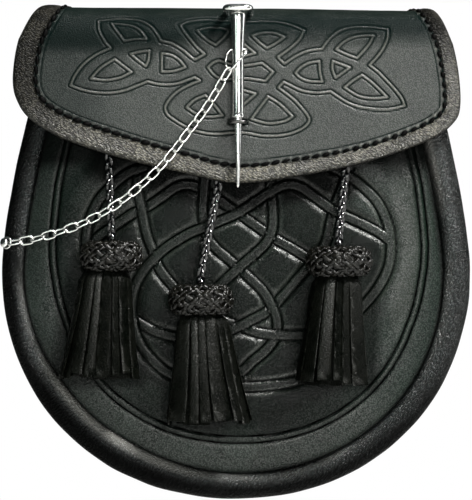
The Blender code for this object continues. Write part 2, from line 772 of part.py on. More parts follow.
def hanger_route(tassel):
    """The lace's centre line: out of the panel on a slant, then down to the head."""
    panel_y = front_depth(tassel.hole_across, tassel.hole_height)
    lying_y = panel_y - LACE / 2 - SEAT_GAP
    across, height = tassel.hole_across, tassel.hole_height
    head_top = tassel.head_height + HEAD_HALF_HEIGHT + SEAT_GAP
    end_y = head_depth(tassel)
    knots = [
        Vector((across, lying_y + 9.0, height + 8.6)),
        Vector((across, lying_y + 5.4, height + 5.8)),
        Vector((across, lying_y + 2.2, height + 2.8)),
        Vector((across, lying_y + 0.35, height - 1.2)),
        Vector((across, lying_y - 0.1, height - 6.0)),
        Vector((across, lying_y - 0.3, height - 10.0)),
    ]
    start = knots[-1]
    end = Vector((tassel.head_across, end_y, head_top))
    above = end + Vector((0, 0, LACE))
    knots += [start.lerp(above, share) for share in (0.3, 0.65, 0.97)] + [end]
    return resample(smooth_curve(knots, 12), 18)


def lace(tassel):
    """A free cord: a curve with a round section and filled ends."""
    curve = bpy.data.curves.new(f"hanger_{tassel.name}", "CURVE")
    curve.dimensions = "3D"
    curve.bevel_depth = LACE / 2 * MM
    curve.bevel_resolution = 2
    curve.use_fill_caps = True
    route = hanger_route(tassel)
    spline = curve.splines.new("POLY")
    spline.points.add(len(route) - 1)
    for target, point in zip(spline.points, route):
        target.co = (*(point * MM), 1.0)
    item = bpy.data.objects.new(f"hanger_{tassel.name}", curve)
    bpy.context.scene.collection.objects.link(item)
    curve.materials.append(make_material(item.name, CUT_LEATHER))


def tassel_head(tassel):
    """A squat barrel with a dished top, flattened from front to back."""
    y = head_depth(tassel)
    sections = ((1.0, 0.30), (0.98, 0.62), (0.62, 0.92), (0.0, 1.0), (-0.62, 0.93), (-1.0, 0.78))
    rings = []
    for height, share in sections:
        rings.append([
            Vector((
                tassel.head_across + tassel.head_half_width * share * cos(turn),
                y + tassel.head_half_width * HEAD_DEPTH_RATIO * share * sin(turn),
                tassel.head_height + HEAD_HALF_HEIGHT * height,
            ))
            for turn in (2 * pi * index / HEAD_SIDES for index in range(HEAD_SIDES))
        ])
    make_object(f"tassel_head_{tassel.name}", loft(rings), CUT_LEATHER, 60.0)


def tassel_skirt(tassel):
    """Strips fused side by side round a core, flaring to feet that aren't level."""
    top_z = tassel.head_height - HEAD_HALF_HEIGHT - SEAT_GAP
    y_top = head_depth(tassel)
    rings = []
    for share in (0.0, 0.35, 0.7, 1.0):
        flare = share ** 1.3
        middle_x = tassel.skirt_top_across + (tassel.skirt_foot_across - tassel.skirt_top_across) * share
        half = tassel.skirt_top_half * 0.94 + (tassel.skirt_foot_half - tassel.skirt_top_half * 0.94) * flare
        ring = []
        for strip in range(STRIPS):
            foot = tassel.skirt_foot_height + (1.6 * sin(strip * 2.4) + 1.6) * share
            height = top_z + (foot - top_z) * share
            for part, radius in ((0.04, 1.0), (0.78, 1.0), (0.91, STRIP_GROOVE)):
                turn = 2 * pi * (strip + part) / STRIPS
                ring.append(Vector((
                    middle_x + half * radius * cos(turn),
                    y_top + half * SKIRT_DEPTH_RATIO * radius * sin(turn),
                    height,
                )))
        rings.append(ring)
    make_object(f"tassel_skirt_{tassel.name}", loft(rings), CUT_LEATHER, 30.0)


for old in list(bpy.data.objects):
    bpy.data.objects.remove(old, do_unlink=True)

back_panel()
gusset()
front_panel()
front_welt()
flap()
flap_binding()
belt_loops()
closure_pin()
pin_keeper()
closure_staple()
make_object("pin_ring", tube(pin_ring_line(), WIRE / 2, WIRE_SIDES, closed=True, up=Vector((0.3, 1.0, 0.5))),
            BRIGHT_NICKEL, 80.0)
chain()
end_ring_and_anchor()
for each in TASSELS:
    lace(each)
    tassel_head(each)
    tassel_skirt(each)
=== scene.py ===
import random
from collections import namedtuple
from functools import cache
from math import acos, atan2, cos, degrees, exp, hypot, log, pi, radians, sin, sqrt

import bmesh
import bpy
from mathutils import Matrix, Vector, noise
from mathutils.kdtree import KDTree


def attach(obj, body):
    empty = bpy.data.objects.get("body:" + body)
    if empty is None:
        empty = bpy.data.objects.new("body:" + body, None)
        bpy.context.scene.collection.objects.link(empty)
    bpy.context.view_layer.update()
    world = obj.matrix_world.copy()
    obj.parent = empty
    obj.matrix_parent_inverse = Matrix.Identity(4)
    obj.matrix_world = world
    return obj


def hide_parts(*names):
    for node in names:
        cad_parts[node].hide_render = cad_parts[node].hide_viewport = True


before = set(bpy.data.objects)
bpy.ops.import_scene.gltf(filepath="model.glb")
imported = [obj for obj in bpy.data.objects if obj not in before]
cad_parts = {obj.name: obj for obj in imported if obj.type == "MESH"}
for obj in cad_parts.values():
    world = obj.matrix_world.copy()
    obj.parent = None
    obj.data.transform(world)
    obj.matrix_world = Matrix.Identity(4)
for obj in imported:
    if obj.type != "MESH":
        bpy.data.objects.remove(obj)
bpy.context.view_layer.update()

# A black leather sporran pouch, dressed over its solids. Lengths are millimetres until
# finish_piece() turns them to metres. +X is to the right seen from the front, -Y is the
# front and +Z is up.
MM = 0.001
SEAT_GAP = 0.3

# The pouch's outline from the front, as the solids have it.
HALF_WIDTH = 97.7
WIDEST_Z = -79.6
BOTTOM_DROP = 95.4
ROUNDNESS = 2.1
TAPER = 0.02116
PANEL_WALL = 2.4
GUSSET_WALL = 1.8
RIM_Y = -42.0
DOME = 5.6
DOME_POWER = 2.6
MOUTH_Z = 8.0
BACK_TOP_Z = 25.0
BACK_INSET = 2.5
WELT_Y = -41.0
WELT_HALF_WIDTH = 5.1
WELT_LEAN = 0.6
WELT_SPREAD = 1.7       # the welt is wider at the lower left, where it was pulled flat
SPREAD_ACROSS, SPREAD_HEIGHT = -64.0, -152.0
CREST_SHIFT = 0.22      # below, the welt's crest lies nearer its seam than its edge
WELT_HALF_DEPTH = 4.2
GUSSET_INSET = 4.0
GUSSET_TUCK = 3.0

# The flap's course and its edge.
LEAF_Y = SEAT_GAP + PANEL_WALL
LEAF_BOTTOM_Z = 18.0
REAR_BEND = 5.0
FRONT_BEND = 14.0
TOP_Z = 29.4
FLAP_Y = -55.4
FLAP_TILT = 0.0098
CURL = 4.5
CURL_AT = 92.0
CURL_POWER = 2.2
LEAF_LENGTH = TOP_Z - REAR_BEND - LEAF_BOTTOM_Z
TOP_START = LEAF_LENGTH + REAR_BEND * pi / 2
TOP_END = TOP_START + LEAF_Y - REAR_BEND - (FLAP_Y + FRONT_BEND)
FRONT_START = TOP_END + FRONT_BEND * pi / 2
FlapSide = namedtuple("FlapSide", "station left right")
FLAP_SIDES = [FlapSide(*row) for row in (
    (0.0, -74.0, 74.0), (15.0, -78.0, 78.0), (34.0, -79.2, 79.4), (50.0, -80.6, 81.3),
    (56.0, -82.7, 83.3), (62.0, -85.4, 85.8), (68.0, -88.0, 88.0), (74.0, -90.1, 89.8),
    (80.0, -91.6, 91.3), (86.0, -92.5, 92.4), (92.0, -92.9, 93.1), (97.0, -92.4, 93.4),
    (101.0, -91.0, 93.3), (105.0, -88.8, 92.6),
)]
FlapEdge = namedtuple("FlapEdge", "across height")
FLAP_LOWER_EDGE = [FlapEdge(*row) for row in (
    (-85.6, -16.9), (-80.6, -20.6), (-72.4, -25.0), (-61.0, -29.2), (-50.6, -32.4),
    (-40.9, -35.1), (-21.8, -39.4), (-6.0, -43.0), (8.0, -43.4), (24.0, -41.1), (37.7, -38.6),
    (50.3, -35.9), (60.0, -33.2), (69.8, -29.9), (79.8, -25.9), (86.6, -22.0), (90.5, -18.4),
)]
BINDING_LEFT = 4.6
BINDING_MIDDLE = 3.6
BINDING_RIGHT = 3.2
BINDING_START = 14.0
BINDING_HALF_DEPTH = 2.0
CORNER_CROWDING = 0.75

# Belt loops.
LOOP_ACROSS = 42.0
LOOP_WIDTH = 20.0
LOOP_HALF_HEIGHT = 17.0
LOOP_FOOT = 5.5
LOOP_ROOM = 5.4
LOOP_WALL = 2.2

# The closure.
PIN_ACROSS = 0.8
PIN_Y = -59.2
PinSection = namedtuple("PinSection", "height radius")
PIN_SECTIONS = [PinSection(*row) for row in (
    (28.9, 1.5), (28.6, 1.9), (27.8, 2.1), (27.5, 2.9), (26.8, 3.35), (25.0, 3.3), (20.0, 3.05),
    (10.0, 2.5), (-14.2, 2.5), (-14.9, 2.75), (-15.6, 2.9), (-16.2, 2.75), (-16.4, 1.7),
    (-18.0, 1.62), (-30.0, 1.2), (-44.2, 0.62), (-45.0, 0.45), (-45.4, 0.1),
)]
CROSS_HOLE_Z = 11.7
KEEPER_Z = 29.2
KEEPER_RADIUS = 1.35
KEEPER_HALF_SPAN = 5.0
KEEPER_DROP = 3.2
KEEPER_LENGTH = 17.0
PIN_NECK = 1.9
SPIKE_RADIUS = 1.65
STAPLE_Z = -18.2
STAPLE_RADIUS = 0.8
STAPLE_HALF_SPAN = 2.85

# The chain.
WIRE = 0.9
LINK_COUNT = 24
LINK_LENGTH = 7.0
LINK_WIDTH = 4.5
LINK_ROLL = 40.0
CHAIN_TWIST = 24.0
ChainPoint = namedtuple("ChainPoint", "across depth height")
CHAIN_ROUTE = [ChainPoint(*row) for row in (
    (-11.2, -58.8, -10.4), (-19.2, -58.4, -21.3), (-31.4, -59.2, -36.7), (-46.4, -59.2, -50.0),
    (-62.1, -57.4, -59.4), (-80.8, -51.6, -65.8),
)]
RING_RADIUS = 2.25
ANCHOR_Z = -68.2
ANCHOR_OFFSET = 3.1
ANCHOR_HEAD_RADIUS = 1.95
ANCHOR_POST_RADIUS = 0.8
PIN_RING_ROUTE = [ChainPoint(*row) for row in (
    (0.0, 0.0, 0.0), (3.3, -0.5, 0.2), (3.1, -2.6, -1.6), (0.4, -3.9, -4.6), (-2.0, -3.6, -7.4),
    (-3.9, -2.4, -8.4), (-5.0, -0.9, -6.6), (-4.8, -0.2, -3.0), (-3.3, 0.0, -0.2),
)]

# The tassels and the laces that they hang from.
LACE = 3.6
Tassel = namedtuple(
    "Tassel",
    "name hole_across hole_height head_across head_height head_half_width "
    "skirt_top_across skirt_top_half skirt_foot_across skirt_foot_half skirt_foot_height",
)
TASSELS = (
    Tassel("left", -52.9, -22.0, -51.7, -73.8, 13.7, -54.0, 11.4, -56.9, 17.2, -125.4),
    Tassel("middle", -7.0, -32.5, -14.6, -91.9, 14.2, -14.0, 11.2, -11.4, 17.6, -143.8),
    Tassel("right", 46.0, -25.0, 42.7, -76.0, 14.4, 42.0, 11.2, 39.9, 15.6, -127.5),
)
HEAD_HALF_HEIGHT = 6.4
HEAD_DEPTH_RATIO = 0.68
SKIRT_DEPTH_RATIO = 0.62
# A lace's way out of its hole: depth and height from where it first lies on the panel.
LACE_LEAD = ((9.0, 8.6), (5.4, 5.8), (2.2, 2.8), (0.35, -1.2), (-0.1, -6.0), (-0.3, -10.0))

# Tooled lines on the flap, as middle lines seen from the front: across, height. A line turns
# sharply at the points whose numbers corners gives, and runs smoothly between them.
ToolLine = namedtuple("ToolLine", "name corners points")
FLAP_KNOT = (
    ToolLine("outline, left half", (5, 8, 12, 18, 23, 24), (
        (-31.3, 15.6), (-33.3, 19.2), (-36.3, 22.5), (-41.3, 24.8), (-48.3, 25.3), (-57.3, 24.8),
        (-56.9, 20.4), (-54.6, 15.4), (-52.1, 12.5), (-58.3, 9.8), (-63.5, 5.8), (-66.9, 1.3),
        (-68.8, -2.9), (-64.2, -4.6), (-58.3, -5.8), (-52.1, -6), (-46.3, -5), (-41.3, -3.1),
        (-36.7, -1.3), (-32.9, -2.3), (-28.8, -2.6), (-24.2, -2.1), (-20.4, -0.8), (-17.1, 0.4),
        (-15, -1), (-19.2, -2.7), (-24.2, -5.4), (-27.7, -8.8), (-29.4, -12.1), (-28.3, -15.2),
        (-25, -17.7), (-20.8, -20.2), (-15, -22.3), (-8.8, -23.1), (-2.1, -22.5),
    )),
    ToolLine("outline, top and right half", (4, 5, 9, 17, 21, 22, 26, 32, 36, 41, 48, 53, 54), (
        (-31.3, 15.6), (-26.7, 14.4), (-22.1, 11.7), (-19.2, 9.2), (-17.1, 7.7), (-13.1, 10),
        (-16.3, 12.9), (-19.2, 16.3), (-21.7, 19.6), (-23.3, 22.3), (-19.2, 23.8), (-12.9, 24.4),
        (-6.7, 24.2), (1.7, 23.5), (12.1, 23.8), (18.3, 23.4), (23.3, 22.1), (28.1, 20),
        (26.3, 16.3), (22.9, 12.9), (19.6, 10.4), (17.3, 8.8), (20, 6), (23.8, 8.6), (27.9, 10.7),
        (32.1, 11.8), (35.6, 12.1), (37.9, 15.4), (40.8, 18.5), (44.6, 20.8), (50, 22),
        (56.3, 22), (62.9, 21.3), (62.9, 17.1), (61.3, 12.9), (58.8, 9.2), (55.4, 5.5),
        (59.2, 2.5), (62.9, -1.3), (66.3, -5), (68.8, -8.3), (70, -11.3), (65.8, -12.4),
        (61.7, -12.9), (56.3, -12.6), (50.8, -11.7), (46.3, -10), (42.5, -7.7), (39.2, -5.4),
        (35, -5.9), (30.8, -5.8), (26.7, -4.9), (23.3, -3.3), (19.8, -1.5), (17.5, -3.8),
        (20.8, -6.3), (24.2, -9), (27.1, -12.1), (29.4, -15), (30.4, -17.5), (28.3, -20.2),
        (23.3, -22.7), (17.5, -23.8), (10.8, -23.8), (4.2, -22.7), (-2.1, -22.5),
    )),
    ToolLine("left lobe cell", (2, 4), (
        (-51.9, 23.5), (-49.6, 20), (-46.5, 15.5), (-41.7, 16.3), (-37.1, 16.3), (-40, 20.2),
        (-44.2, 22.5), (-51.9, 23.5),
    )),
    ToolLine("left leaf cell", (1, 4), (
        (-50.5, 8), (-43.4, 2.6), (-48.3, 0.3), (-54.2, -0.7), (-60.4, -0.1), (-56.3, 4.3),
        (-50.5, 8),
    )),
    ToolLine("left small cell", (2, 4), (
        (-43.8, 10.1), (-40, 11), (-36, 11.5), (-36.3, 7.9), (-37.5, 5), (-40.8, 7.5),
        (-43.8, 10.1),
    )),
    ToolLine("left inner cell", (3, 5), (
        (-30.8, 10.4), (-26.7, 9.6), (-23.3, 7.3), (-21.1, 4.6), (-25.4, 3.1), (-30.8, 2.7),
        (-30.8, 10.4),
    )),
    ToolLine("top left cell", (3, 5), (
        (-16.3, 19.8), (-11.7, 21), (-6.7, 21), (-2.7, 20), (-5.4, 16.7), (-8.5, 13.8),
        (-12.9, 16.5), (-16.3, 19.8),
    )),
    ToolLine("middle cell", (2, 4, 5, 6, 8), (
        (-11.7, 4.5), (-9.6, 6.4), (-7.1, 7.4), (1.7, 5.2), (10.8, 6.3), (15.4, 2.6),
        (12.1, -1.1), (2.9, 0), (-5.8, -0.6), (-9.2, 1.5), (-11.7, 4.5),
    )),
    ToolLine("lower left cell", (2, 4), (
        (-20.6, -12.1), (-17.1, -8.9), (-12.7, -7.1), (-9.6, -10.4), (-5.6, -15.4), (-10.8, -16),
        (-15.8, -15.2), (-20.6, -12.1),
    )),
    ToolLine("right lobe cell", (4, 6), (
        (41.5, 12), (44.6, 15), (48.8, 17.2), (53.3, 18.1), (57.1, 18.2), (55, 13.8), (50.2, 8.4),
        (45.8, 10), (41.5, 12),
    )),
    ToolLine("right leaf cell", (2, 5), (
        (52.3, 1.4), (57.1, -2.3), (62.7, -7.8), (57.1, -8.3), (50.8, -7.3), (45, -3.8),
        (48.5, -1), (52.3, 1.4),
    )),
    ToolLine("right small cell", (1, 2), (
        (40.2, 7.1), (47.3, 4.5), (41.3, 0.2), (40, 3.8), (40.2, 7.1),
    )),
    ToolLine("right inner cell", (3, 5), (
        (24.6, 2.3), (27.5, 5), (30.8, 6.5), (34.6, 7.1), (34.8, 2.9), (35.8, -1.4), (30.4, -1.2),
        (26.7, 0.2), (24.6, 2.3),
    )),
    ToolLine("top right cell", (3, 5), (
        (6.7, 17.6), (10.8, 18.8), (15.8, 18.8), (20, 17.1), (16.5, 14.5), (12.7, 12.5),
        (9.6, 14.9), (6.7, 17.6),
    )),
    ToolLine("lower right cell", (2, 5), (
        (13.3, -7.6), (18.3, -10.8), (23.5, -15.8), (20, -17.8), (13.3, -18.7), (6.3, -17),
        (9.6, -12.5), (13.3, -7.6),
    )),
    ToolLine("upper pin cell", (1,), ((1.7, 15.4), (7.9, 10.4), (1.7, 8.8))),
    ToolLine("lower pin cell", (1,), ((1.7, -4.6), (8.1, -6.4), (1.7, -12.1))),
)

# Middle lines of the raised bands on the front panel: across, height.
Strand = namedtuple("Strand", "name points")
PANEL_KNOT = (
    Strand("right loop, then to the upper left", (
        (39.2, -36.3), (46.3, -40), (52.5, -44.6), (59.2, -51.7), (63.3, -60.8), (64.6, -69.6),
        (63.3, -78.8), (58.8, -87.5), (52.5, -95), (45.4, -100.8), (35.8, -105.4),
        (25.4, -106.7), (13.3, -106.3), (5.8, -104.6), (0.8, -102.9), (-5.8, -100.4),
        (-13.8, -96.3), (-22.9, -89.6), (-31.3, -80), (-34.6, -72.1), (-37.5, -63.8),
        (-39.6, -52.5), (-40.8, -46.3), (-41.3, -36.3),
    )),
    Strand("left loop, then to the upper right", (
        (-37.1, -36.3), (-44.2, -38.8), (-50.4, -43.3), (-57.1, -50.4), (-61.3, -59.6),
        (-62.5, -68.3), (-61.3, -77.5), (-56.7, -86.3), (-50.4, -93.8), (-43.3, -99.6),
        (-33.8, -105), (-23.3, -107.5), (-12.9, -107.5), (-5, -105.8), (0.8, -103.3),
        (5.8, -100.8), (13.3, -96.7), (19.6, -90.4), (27.9, -80.8), (33.3, -75), (37.5, -67.9),
        (39.6, -58.8), (41.7, -51.7), (44.6, -44.6), (47.1, -36.3),
    )),
    Strand("long loop round the bottom", (
        (-61.7, -69.6), (-56.7, -65.4), (-49.2, -60.4), (-43.3, -56.3), (-37.1, -53.3),
        (-30.8, -49.2), (-24.6, -45), (-18.8, -44.2), (-12.1, -47.1), (-5.8, -51.3),
        (0.8, -55.8), (7.9, -60.8), (15, -65.8), (21.7, -69.6), (28.8, -73.8), (36.3, -77.9),
        (41.7, -83.3), (44.6, -90), (45.8, -97.1), (45, -104.6), (42.5, -111.3), (37.9, -117.5),
        (31.3, -122.9), (22.5, -126.3), (12.1, -127.9), (1.7, -128.3), (-10, -127.5),
        (-20.4, -125.4), (-29.2, -121.7), (-35.8, -115.8), (-40.4, -109.6), (-42.9, -102.5),
        (-43.8, -95.4), (-42.5, -87.9), (-39.6, -81.7), (-35.8, -76.7), (-29.6, -70.8),
        (-21.3, -65.4), (-15, -62.5), (-6.7, -59.2), (0.8, -55.8), (7.9, -51.3), (14.2, -47.1),
        (20.8, -44.2), (26.7, -45), (32.9, -49.2), (39.2, -53.8), (45.4, -57.1), (52.5, -60.4),
        (59.2, -63.8), (63.8, -67.1),
    )),
    Strand("inner loop", (
        (-12.5, -36.3), (-13.3, -46.3), (-13.8, -55.4), (-12.5, -64.2), (-9.2, -69.6),
        (-3.3, -75), (2.9, -80.4), (10.8, -87.9), (14.6, -94.2), (17.1, -100.4), (16.7, -106.7),
        (12.9, -112.5), (7.1, -117.5), (1.3, -122.1), (-4.6, -117.5), (-11.3, -112.5),
        (-15, -106.7), (-14.6, -100.4), (-12.1, -94.2), (-8.3, -87.9), (-2.1, -81.7),
        (2.9, -77.1), (7.9, -72.9), (12.5, -68.3), (15, -62.9), (15.4, -55.4), (14.6, -46.3),
        (14.2, -36.3),
    )),
)
# Crossings where the strand that plain weaving would put below lies on top.
TURNED_CROSSINGS = ((0.8, -55.8), (1.0, -78.7), (15.0, -94.8), (40.5, -54.6))
PANEL_MIDDLE = Vector((0.0, WIDEST_Z + 12.0))

# How far inside the pouch's outline the front panel's double frame line runs.
FrameReach = namedtuple("FrameReach", "height reach")
FRAME_REACHES = [FrameReach(*row) for row in (
    (-180.0, 24.8), (-111.0, 23.5), (-85.0, 21.3), (-67.0, 19.2), (-40.0, 17.8), (10.0, 17.6),
)]
FRAME_LEAN = 1.1        # further in on the left, less far on the right

# Painted shade and highlight across the welt, by bearing round the pouch (0 right, 90 down, 180
# left).
# Shares run from its edge, 0, to its seam, 1: painted shade on the outer side, as dark as outer,
# fades from start to clear, painted shade by the seam begins at inner, and shoulder is how far the
# inner side is painted lighter and glossier as a highlight.
WeltTone = namedtuple("WeltTone", "bearing start clear outer inner shoulder")
WELT_TONES = [WeltTone(*row) for row in (
    (-25, 0.20, 0.45, 0.60, 0.55, 0.30), (-10, 0.15, 0.50, 0.74, 0.60, 0.00),
    (5, 0.10, 0.80, 0.65, 0.86, 0.05), (20, 0.10, 0.90, 0.66, 0.84, 0.05),
    (35, 0.05, 1.15, 0.92, 0.76, 0.00), (50, 0.25, 1.25, 0.93, 0.78, 0.00),
    (65, 0.30, 0.95, 0.93, 0.90, 0.05), (80, 0.35, 0.82, 0.93, 0.85, 0.05),
    (95, 0.37, 0.87, 0.92, 0.93, 0.10), (110, 0.42, 0.85, 0.95, 0.94, 0.28),
    (142, 0.42, 0.85, 0.95, 0.92, 0.28), (156, 0.20, 0.85, 0.92, 0.85, 0.05),
    (170, 0.44, 0.98, 0.92, 0.88, 0.12), (185, 0.20, 1.30, 0.93, 0.84, 0.00),
    (200, 0.15, 1.25, 0.93, 0.78, 0.00),
)]


# ---------------------------------------------------------------- plain helpers

def steps(start, stop, count):
    """count numbers from start to stop, both included."""
    return [start + (stop - start) * index / (count - 1) for index in range(count)]


def fade(value, start, over):
    """0 at start and 1 where the value has gone on by over, which may be below zero."""
    share = min(1.0, max(0.0, (value - start) / over))
    return share * share * (3 - 2 * share)


def hump(value, middle, spread):
    """A smooth hump of height 1."""
    share = (value - middle) / spread
    return exp(-share * share)


def bent(value, power):
    """A power of a value's size, with the value's sign."""
    return (1 if value > 0 else -1) * abs(value) ** power


def between(rows, value, column=1):
    """A column of a table at a value of its first, in a straight line between rows."""
    for low, high in zip(rows, rows[1:]):
        if value <= high[0]:
            share = (value - low[0]) / (high[0] - low[0])
            return low[column] + (high[column] - low[column]) * max(0.0, share)
    return rows[-1][column]


def run_length(points):
    return sum((second - first).length for first, second in zip(points, points[1:]))


def resample(points, count):
    """count points at even spacing along a run of points."""
    lengths = [0.0]
    for first, second in zip(points, points[1:]):
        lengths.append(lengths[-1] + (second - first).length)
    result = []
    index = 0
    for wanted in steps(0.0, lengths[-1], count):
        while index < len(points) - 2 and lengths[index + 1] < wanted:
            index += 1
        span = (lengths[index + 1] - lengths[index]) or 1.0
        result.append(points[index].lerp(points[index + 1], (wanted - lengths[index]) / span))
    return result


def spaced(run, pitch, least=2):
    """Points about pitch apart along a run."""
    return resample(run, max(least, round(run_length(run) / pitch)))


def smooth_curve(knots, per_span=12, closed=False):
    """A Catmull-Rom curve through the knots."""
    count = len(knots)
    result = []
    for index in range(count if closed else count - 1):
        if closed:
            before, start, end, after = (knots[(index + shift) % count] for shift in (-1, 0, 1, 2))
        else:
            start, end = knots[index], knots[index + 1]
            before = knots[index - 1] if index else start * 2 - end
            after = knots[index + 2] if index + 2 < count else end * 2 - start
        for step in range(per_span):
            t = step / per_span
            result.append(
                (start * 2 + (end - before) * t
                 + (before * 2 - start * 5 + end * 4 - after) * t ** 2
                 + (start * 3 - before - end * 3 + after) * t ** 3) * 0.5
            )
    if not closed:
        result.append(knots[-1].copy())
    return result


def tangents(points, closed=False):
    count = len(points)
    result = []
    for index in range(count):
        before = points[index - 1] if closed or index else points[0]
        after = points[(index + 1) % count] if closed or index < count - 1 else points[-1]
        result.append((after - before).normalized())
    return result


def frames(points, up, closed=False):
    """Two directions across the run at each point, carried along it without twisting."""
    runs = tangents(points, closed)
    sides = [runs[0].cross(up).normalized()]
    for before, after in zip(runs, runs[1:]):
        sides.append(before.rotation_difference(after) @ sides[-1])
    if closed:
        last = runs[-1].rotation_difference(runs[0]) @ sides[-1]
        twist = last.angle(sides[0])
        if last.cross(sides[0]).dot(runs[0]) < 0:
            twist = -twist
        share = twist / len(runs)
        sides = [Matrix.Rotation(share * index, 3, run) @ side
                 for index, (run, side) in enumerate(zip(runs, sides))]
    return [(side, side.cross(run)) for side, run in zip(sides, runs)]


def shaped_grid(columns, rows, place, into=None, merge=None):
    """A grid of faces whose corners are moved to place(u, v), with u and v from 0 to 1. Corners
    that come closer than merge become one."""
    bm = into or bmesh.new()
    verts = bmesh.ops.create_grid(bm, x_segments=columns, y_segments=rows, size=0.5)["verts"]
    for vert in verts:
        vert.co = place(vert.co.x + 0.5, vert.co.y + 0.5)
    if merge:
        bmesh.ops.remove_doubles(bm, verts=verts, dist=merge)
    return bm


def ring_grid(sides, rings, place, merge=None):
    """A grid round a row of rings, with its corners at place(u, ring)."""
    last = len(rings) - 1
    return shaped_grid(sides, last, lambda u, v: place(u, rings[round(v * last)]), merge=merge)


def along(points, share):
    """A point at a share of an evenly spaced run."""
    place = min(max(share, 0.0), 1.0) * (len(points) - 1)
    index = min(int(place), len(points) - 2)
    return points[index].lerp(points[index + 1], place - index)


def sweep(bm, points, section, sides, up=None, closed=False, over=None):
    """Adds a rod along the points. section(turn, share) gives how far to go to the side and
    over; over gives the outward direction at each point, where the rod lies on a surface."""
    if over is None:
        both = frames(points, up, closed)
    else:
        both = [(run.cross(out).normalized(), out)
                for run, out in zip(tangents(points, closed), over)]
    count = len(points) if closed else len(points) - 1

    def place(u, v):
        index = round(v * count)
        side, outward = both[index % len(points)]
        sideways, out = section(2 * pi * u, index / count)
        return points[index % len(points)] + side * sideways + outward * out

    return shaped_grid(sides, count, place, bm, merge=0.0005)


def round_section(radius):
    return lambda turn, share: (radius * cos(turn), radius * sin(turn))


def into_scene(name, data):
    """A new object in the scene."""
    thing = bpy.data.objects.new(name, data)
    bpy.context.scene.collection.objects.link(thing)
    return thing


def finish_piece(name, bm, material, replaced, smooth_angle=60.0, close=True):
    """Closes and scales a mesh, and makes it a piece that rides on the part's one body."""
    if close:
        edges = [edge for edge in bm.edges if edge.is_boundary]
        if edges:
            bmesh.ops.holes_fill(bm, edges=edges, sides=0)
        bmesh.ops.recalc_face_normals(bm, faces=bm.faces)
    bmesh.ops.scale(bm, vec=Vector((MM, MM, MM)), verts=bm.verts)
    mesh = bpy.data.meshes.new(name)
    bm.to_mesh(mesh)
    bm.free()
    mesh.shade_smooth()
    mesh.set_sharp_from_angle(angle=radians(smooth_angle))
    mesh.materials.append(material)
    piece = into_scene(name, mesh)
    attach(piece, "root")
    if replaced:
        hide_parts(*replaced)
    return piece


def point_tree(points):
    tree = KDTree(len(points))
    for index, point in enumerate(points):
        tree.insert((point.x, point.y, 0.0), index)
    tree.balance()
    return tree


def distance_from(points):
    """A function that gives the distance of a flat place from the nearest of the points."""
    tree = point_tree(points)
    return lambda place: tree.find((place[0], place[1], 0.0))[2]


def refine(bm, near):
    """Quarters the faces whose middles near() picks."""
    picked = [face for face in bm.faces if near(face.calc_center_median())]
    edges = list({edge for face in picked for edge in face.edges})
    bmesh.ops.subdivide_edges(bm, edges=edges, cuts=1, use_grid_fill=True)


def wear_layers(bm):
    """What tooled leather reads: how far a place is pressed or darkened, painted shade included,
    and how far rubbed or painted with highlight and sheen.
    """
    return bm.verts.layers.float.new("groove"), bm.verts.layers.float.new("ridge")


def turn_faces(bm, way):
    """Turns the faces of an open sheet so that its lowest one looks to way times +Y."""
    bmesh.ops.recalc_face_normals(bm, faces=bm.faces)
    lowest = min(bm.faces, key=lambda face: face.calc_center_median().z)
    if lowest.normal.y * way < 0:
        bmesh.ops.reverse_faces(bm, faces=bm.faces)


# ---------------------------------------------------------------- the pouch's shape

def half_width(z):
    if z >= WIDEST_Z:
        return HALF_WIDTH - TAPER * (z - WIDEST_Z) ** 1.5
    share = (WIDEST_Z - z) / BOTTOM_DROP
    return HALF_WIDTH * max(0.0, 1 - share ** ROUNDNESS) ** (1 / ROUNDNESS)


def body_outline(top_z, count):
    """The outline from the top left, down, round the bottom and up to the top right."""
    left = [Vector((-half_width(z), z)) for z in steps(top_z, WIDEST_Z, 60)]
    for turn in steps(0.0, pi / 2, 140)[1:]:
        across = HALF_WIDTH * max(0.0, cos(turn)) ** (2 / ROUNDNESS)
        left.append(Vector((-across, WIDEST_Z - BOTTOM_DROP * sin(turn) ** (2 / ROUNDNESS))))
    right = [Vector((-point.x, point.y)) for point in reversed(left[:-1])]
    return resample(left + right, count)


def inset(points, distance):
    """Flat points moved to the left of the way they run."""
    return [point + Vector((-tangent.y, tangent.x)) * distance(point)
            for point, tangent in zip(points, tangents(points))]


def closeness_to_edge(across, height):
    """0 on the middle line, 1 on the outline."""
    if height >= WIDEST_Z:
        return abs(across) / half_width(height)
    sideways = (abs(across) / HALF_WIDTH) ** ROUNDNESS
    down = ((WIDEST_Z - height) / BOTTOM_DROP) ** ROUNDNESS
    return (sideways + down) ** (1 / ROUNDNESS)


def welt_reach(point):
    """Half of the welt's width at a place of the outline."""
    away = hypot(point.x - SPREAD_ACROSS, point.y - SPREAD_HEIGHT)
    return (WELT_HALF_WIDTH + WELT_LEAN * point.x / HALF_WIDTH
            + WELT_SPREAD * (1 - fade(away, 15.0, 60.0)))


def front_depth(across, height):
    """Y of the front panel's outer face."""
    edge = 1 - 2 * WELT_HALF_WIDTH / HALF_WIDTH
    share = min(1.0, closeness_to_edge(across, height) / edge)
    return RIM_Y - DOME * (1 - share ** DOME_POWER)


def head_depth(tassel):
    half_depth = tassel.head_half_width * HEAD_DEPTH_RATIO
    return front_depth(tassel.head_across, tassel.head_height) - half_depth - SEAT_GAP


def hanger_route(tassel):
    """The lace's centre line: out of the panel on a slant, then down to the head."""
    across, height = tassel.hole_across, tassel.hole_height
    lying_y = front_depth(across, height) - LACE / 2 - SEAT_GAP
    knots = [Vector((across, lying_y + out, height + rise)) for out, rise in LACE_LEAD]
    head_top = tassel.head_height + HEAD_HALF_HEIGHT + SEAT_GAP
    end = Vector((tassel.head_across, head_depth(tassel), head_top))
    above = end + Vector((0, 0, LACE))
    knots += [knots[-1].lerp(above, share) for share in (0.3, 0.65, 0.97)] + [end]
    return resample(smooth_curve(knots, 12), 18)


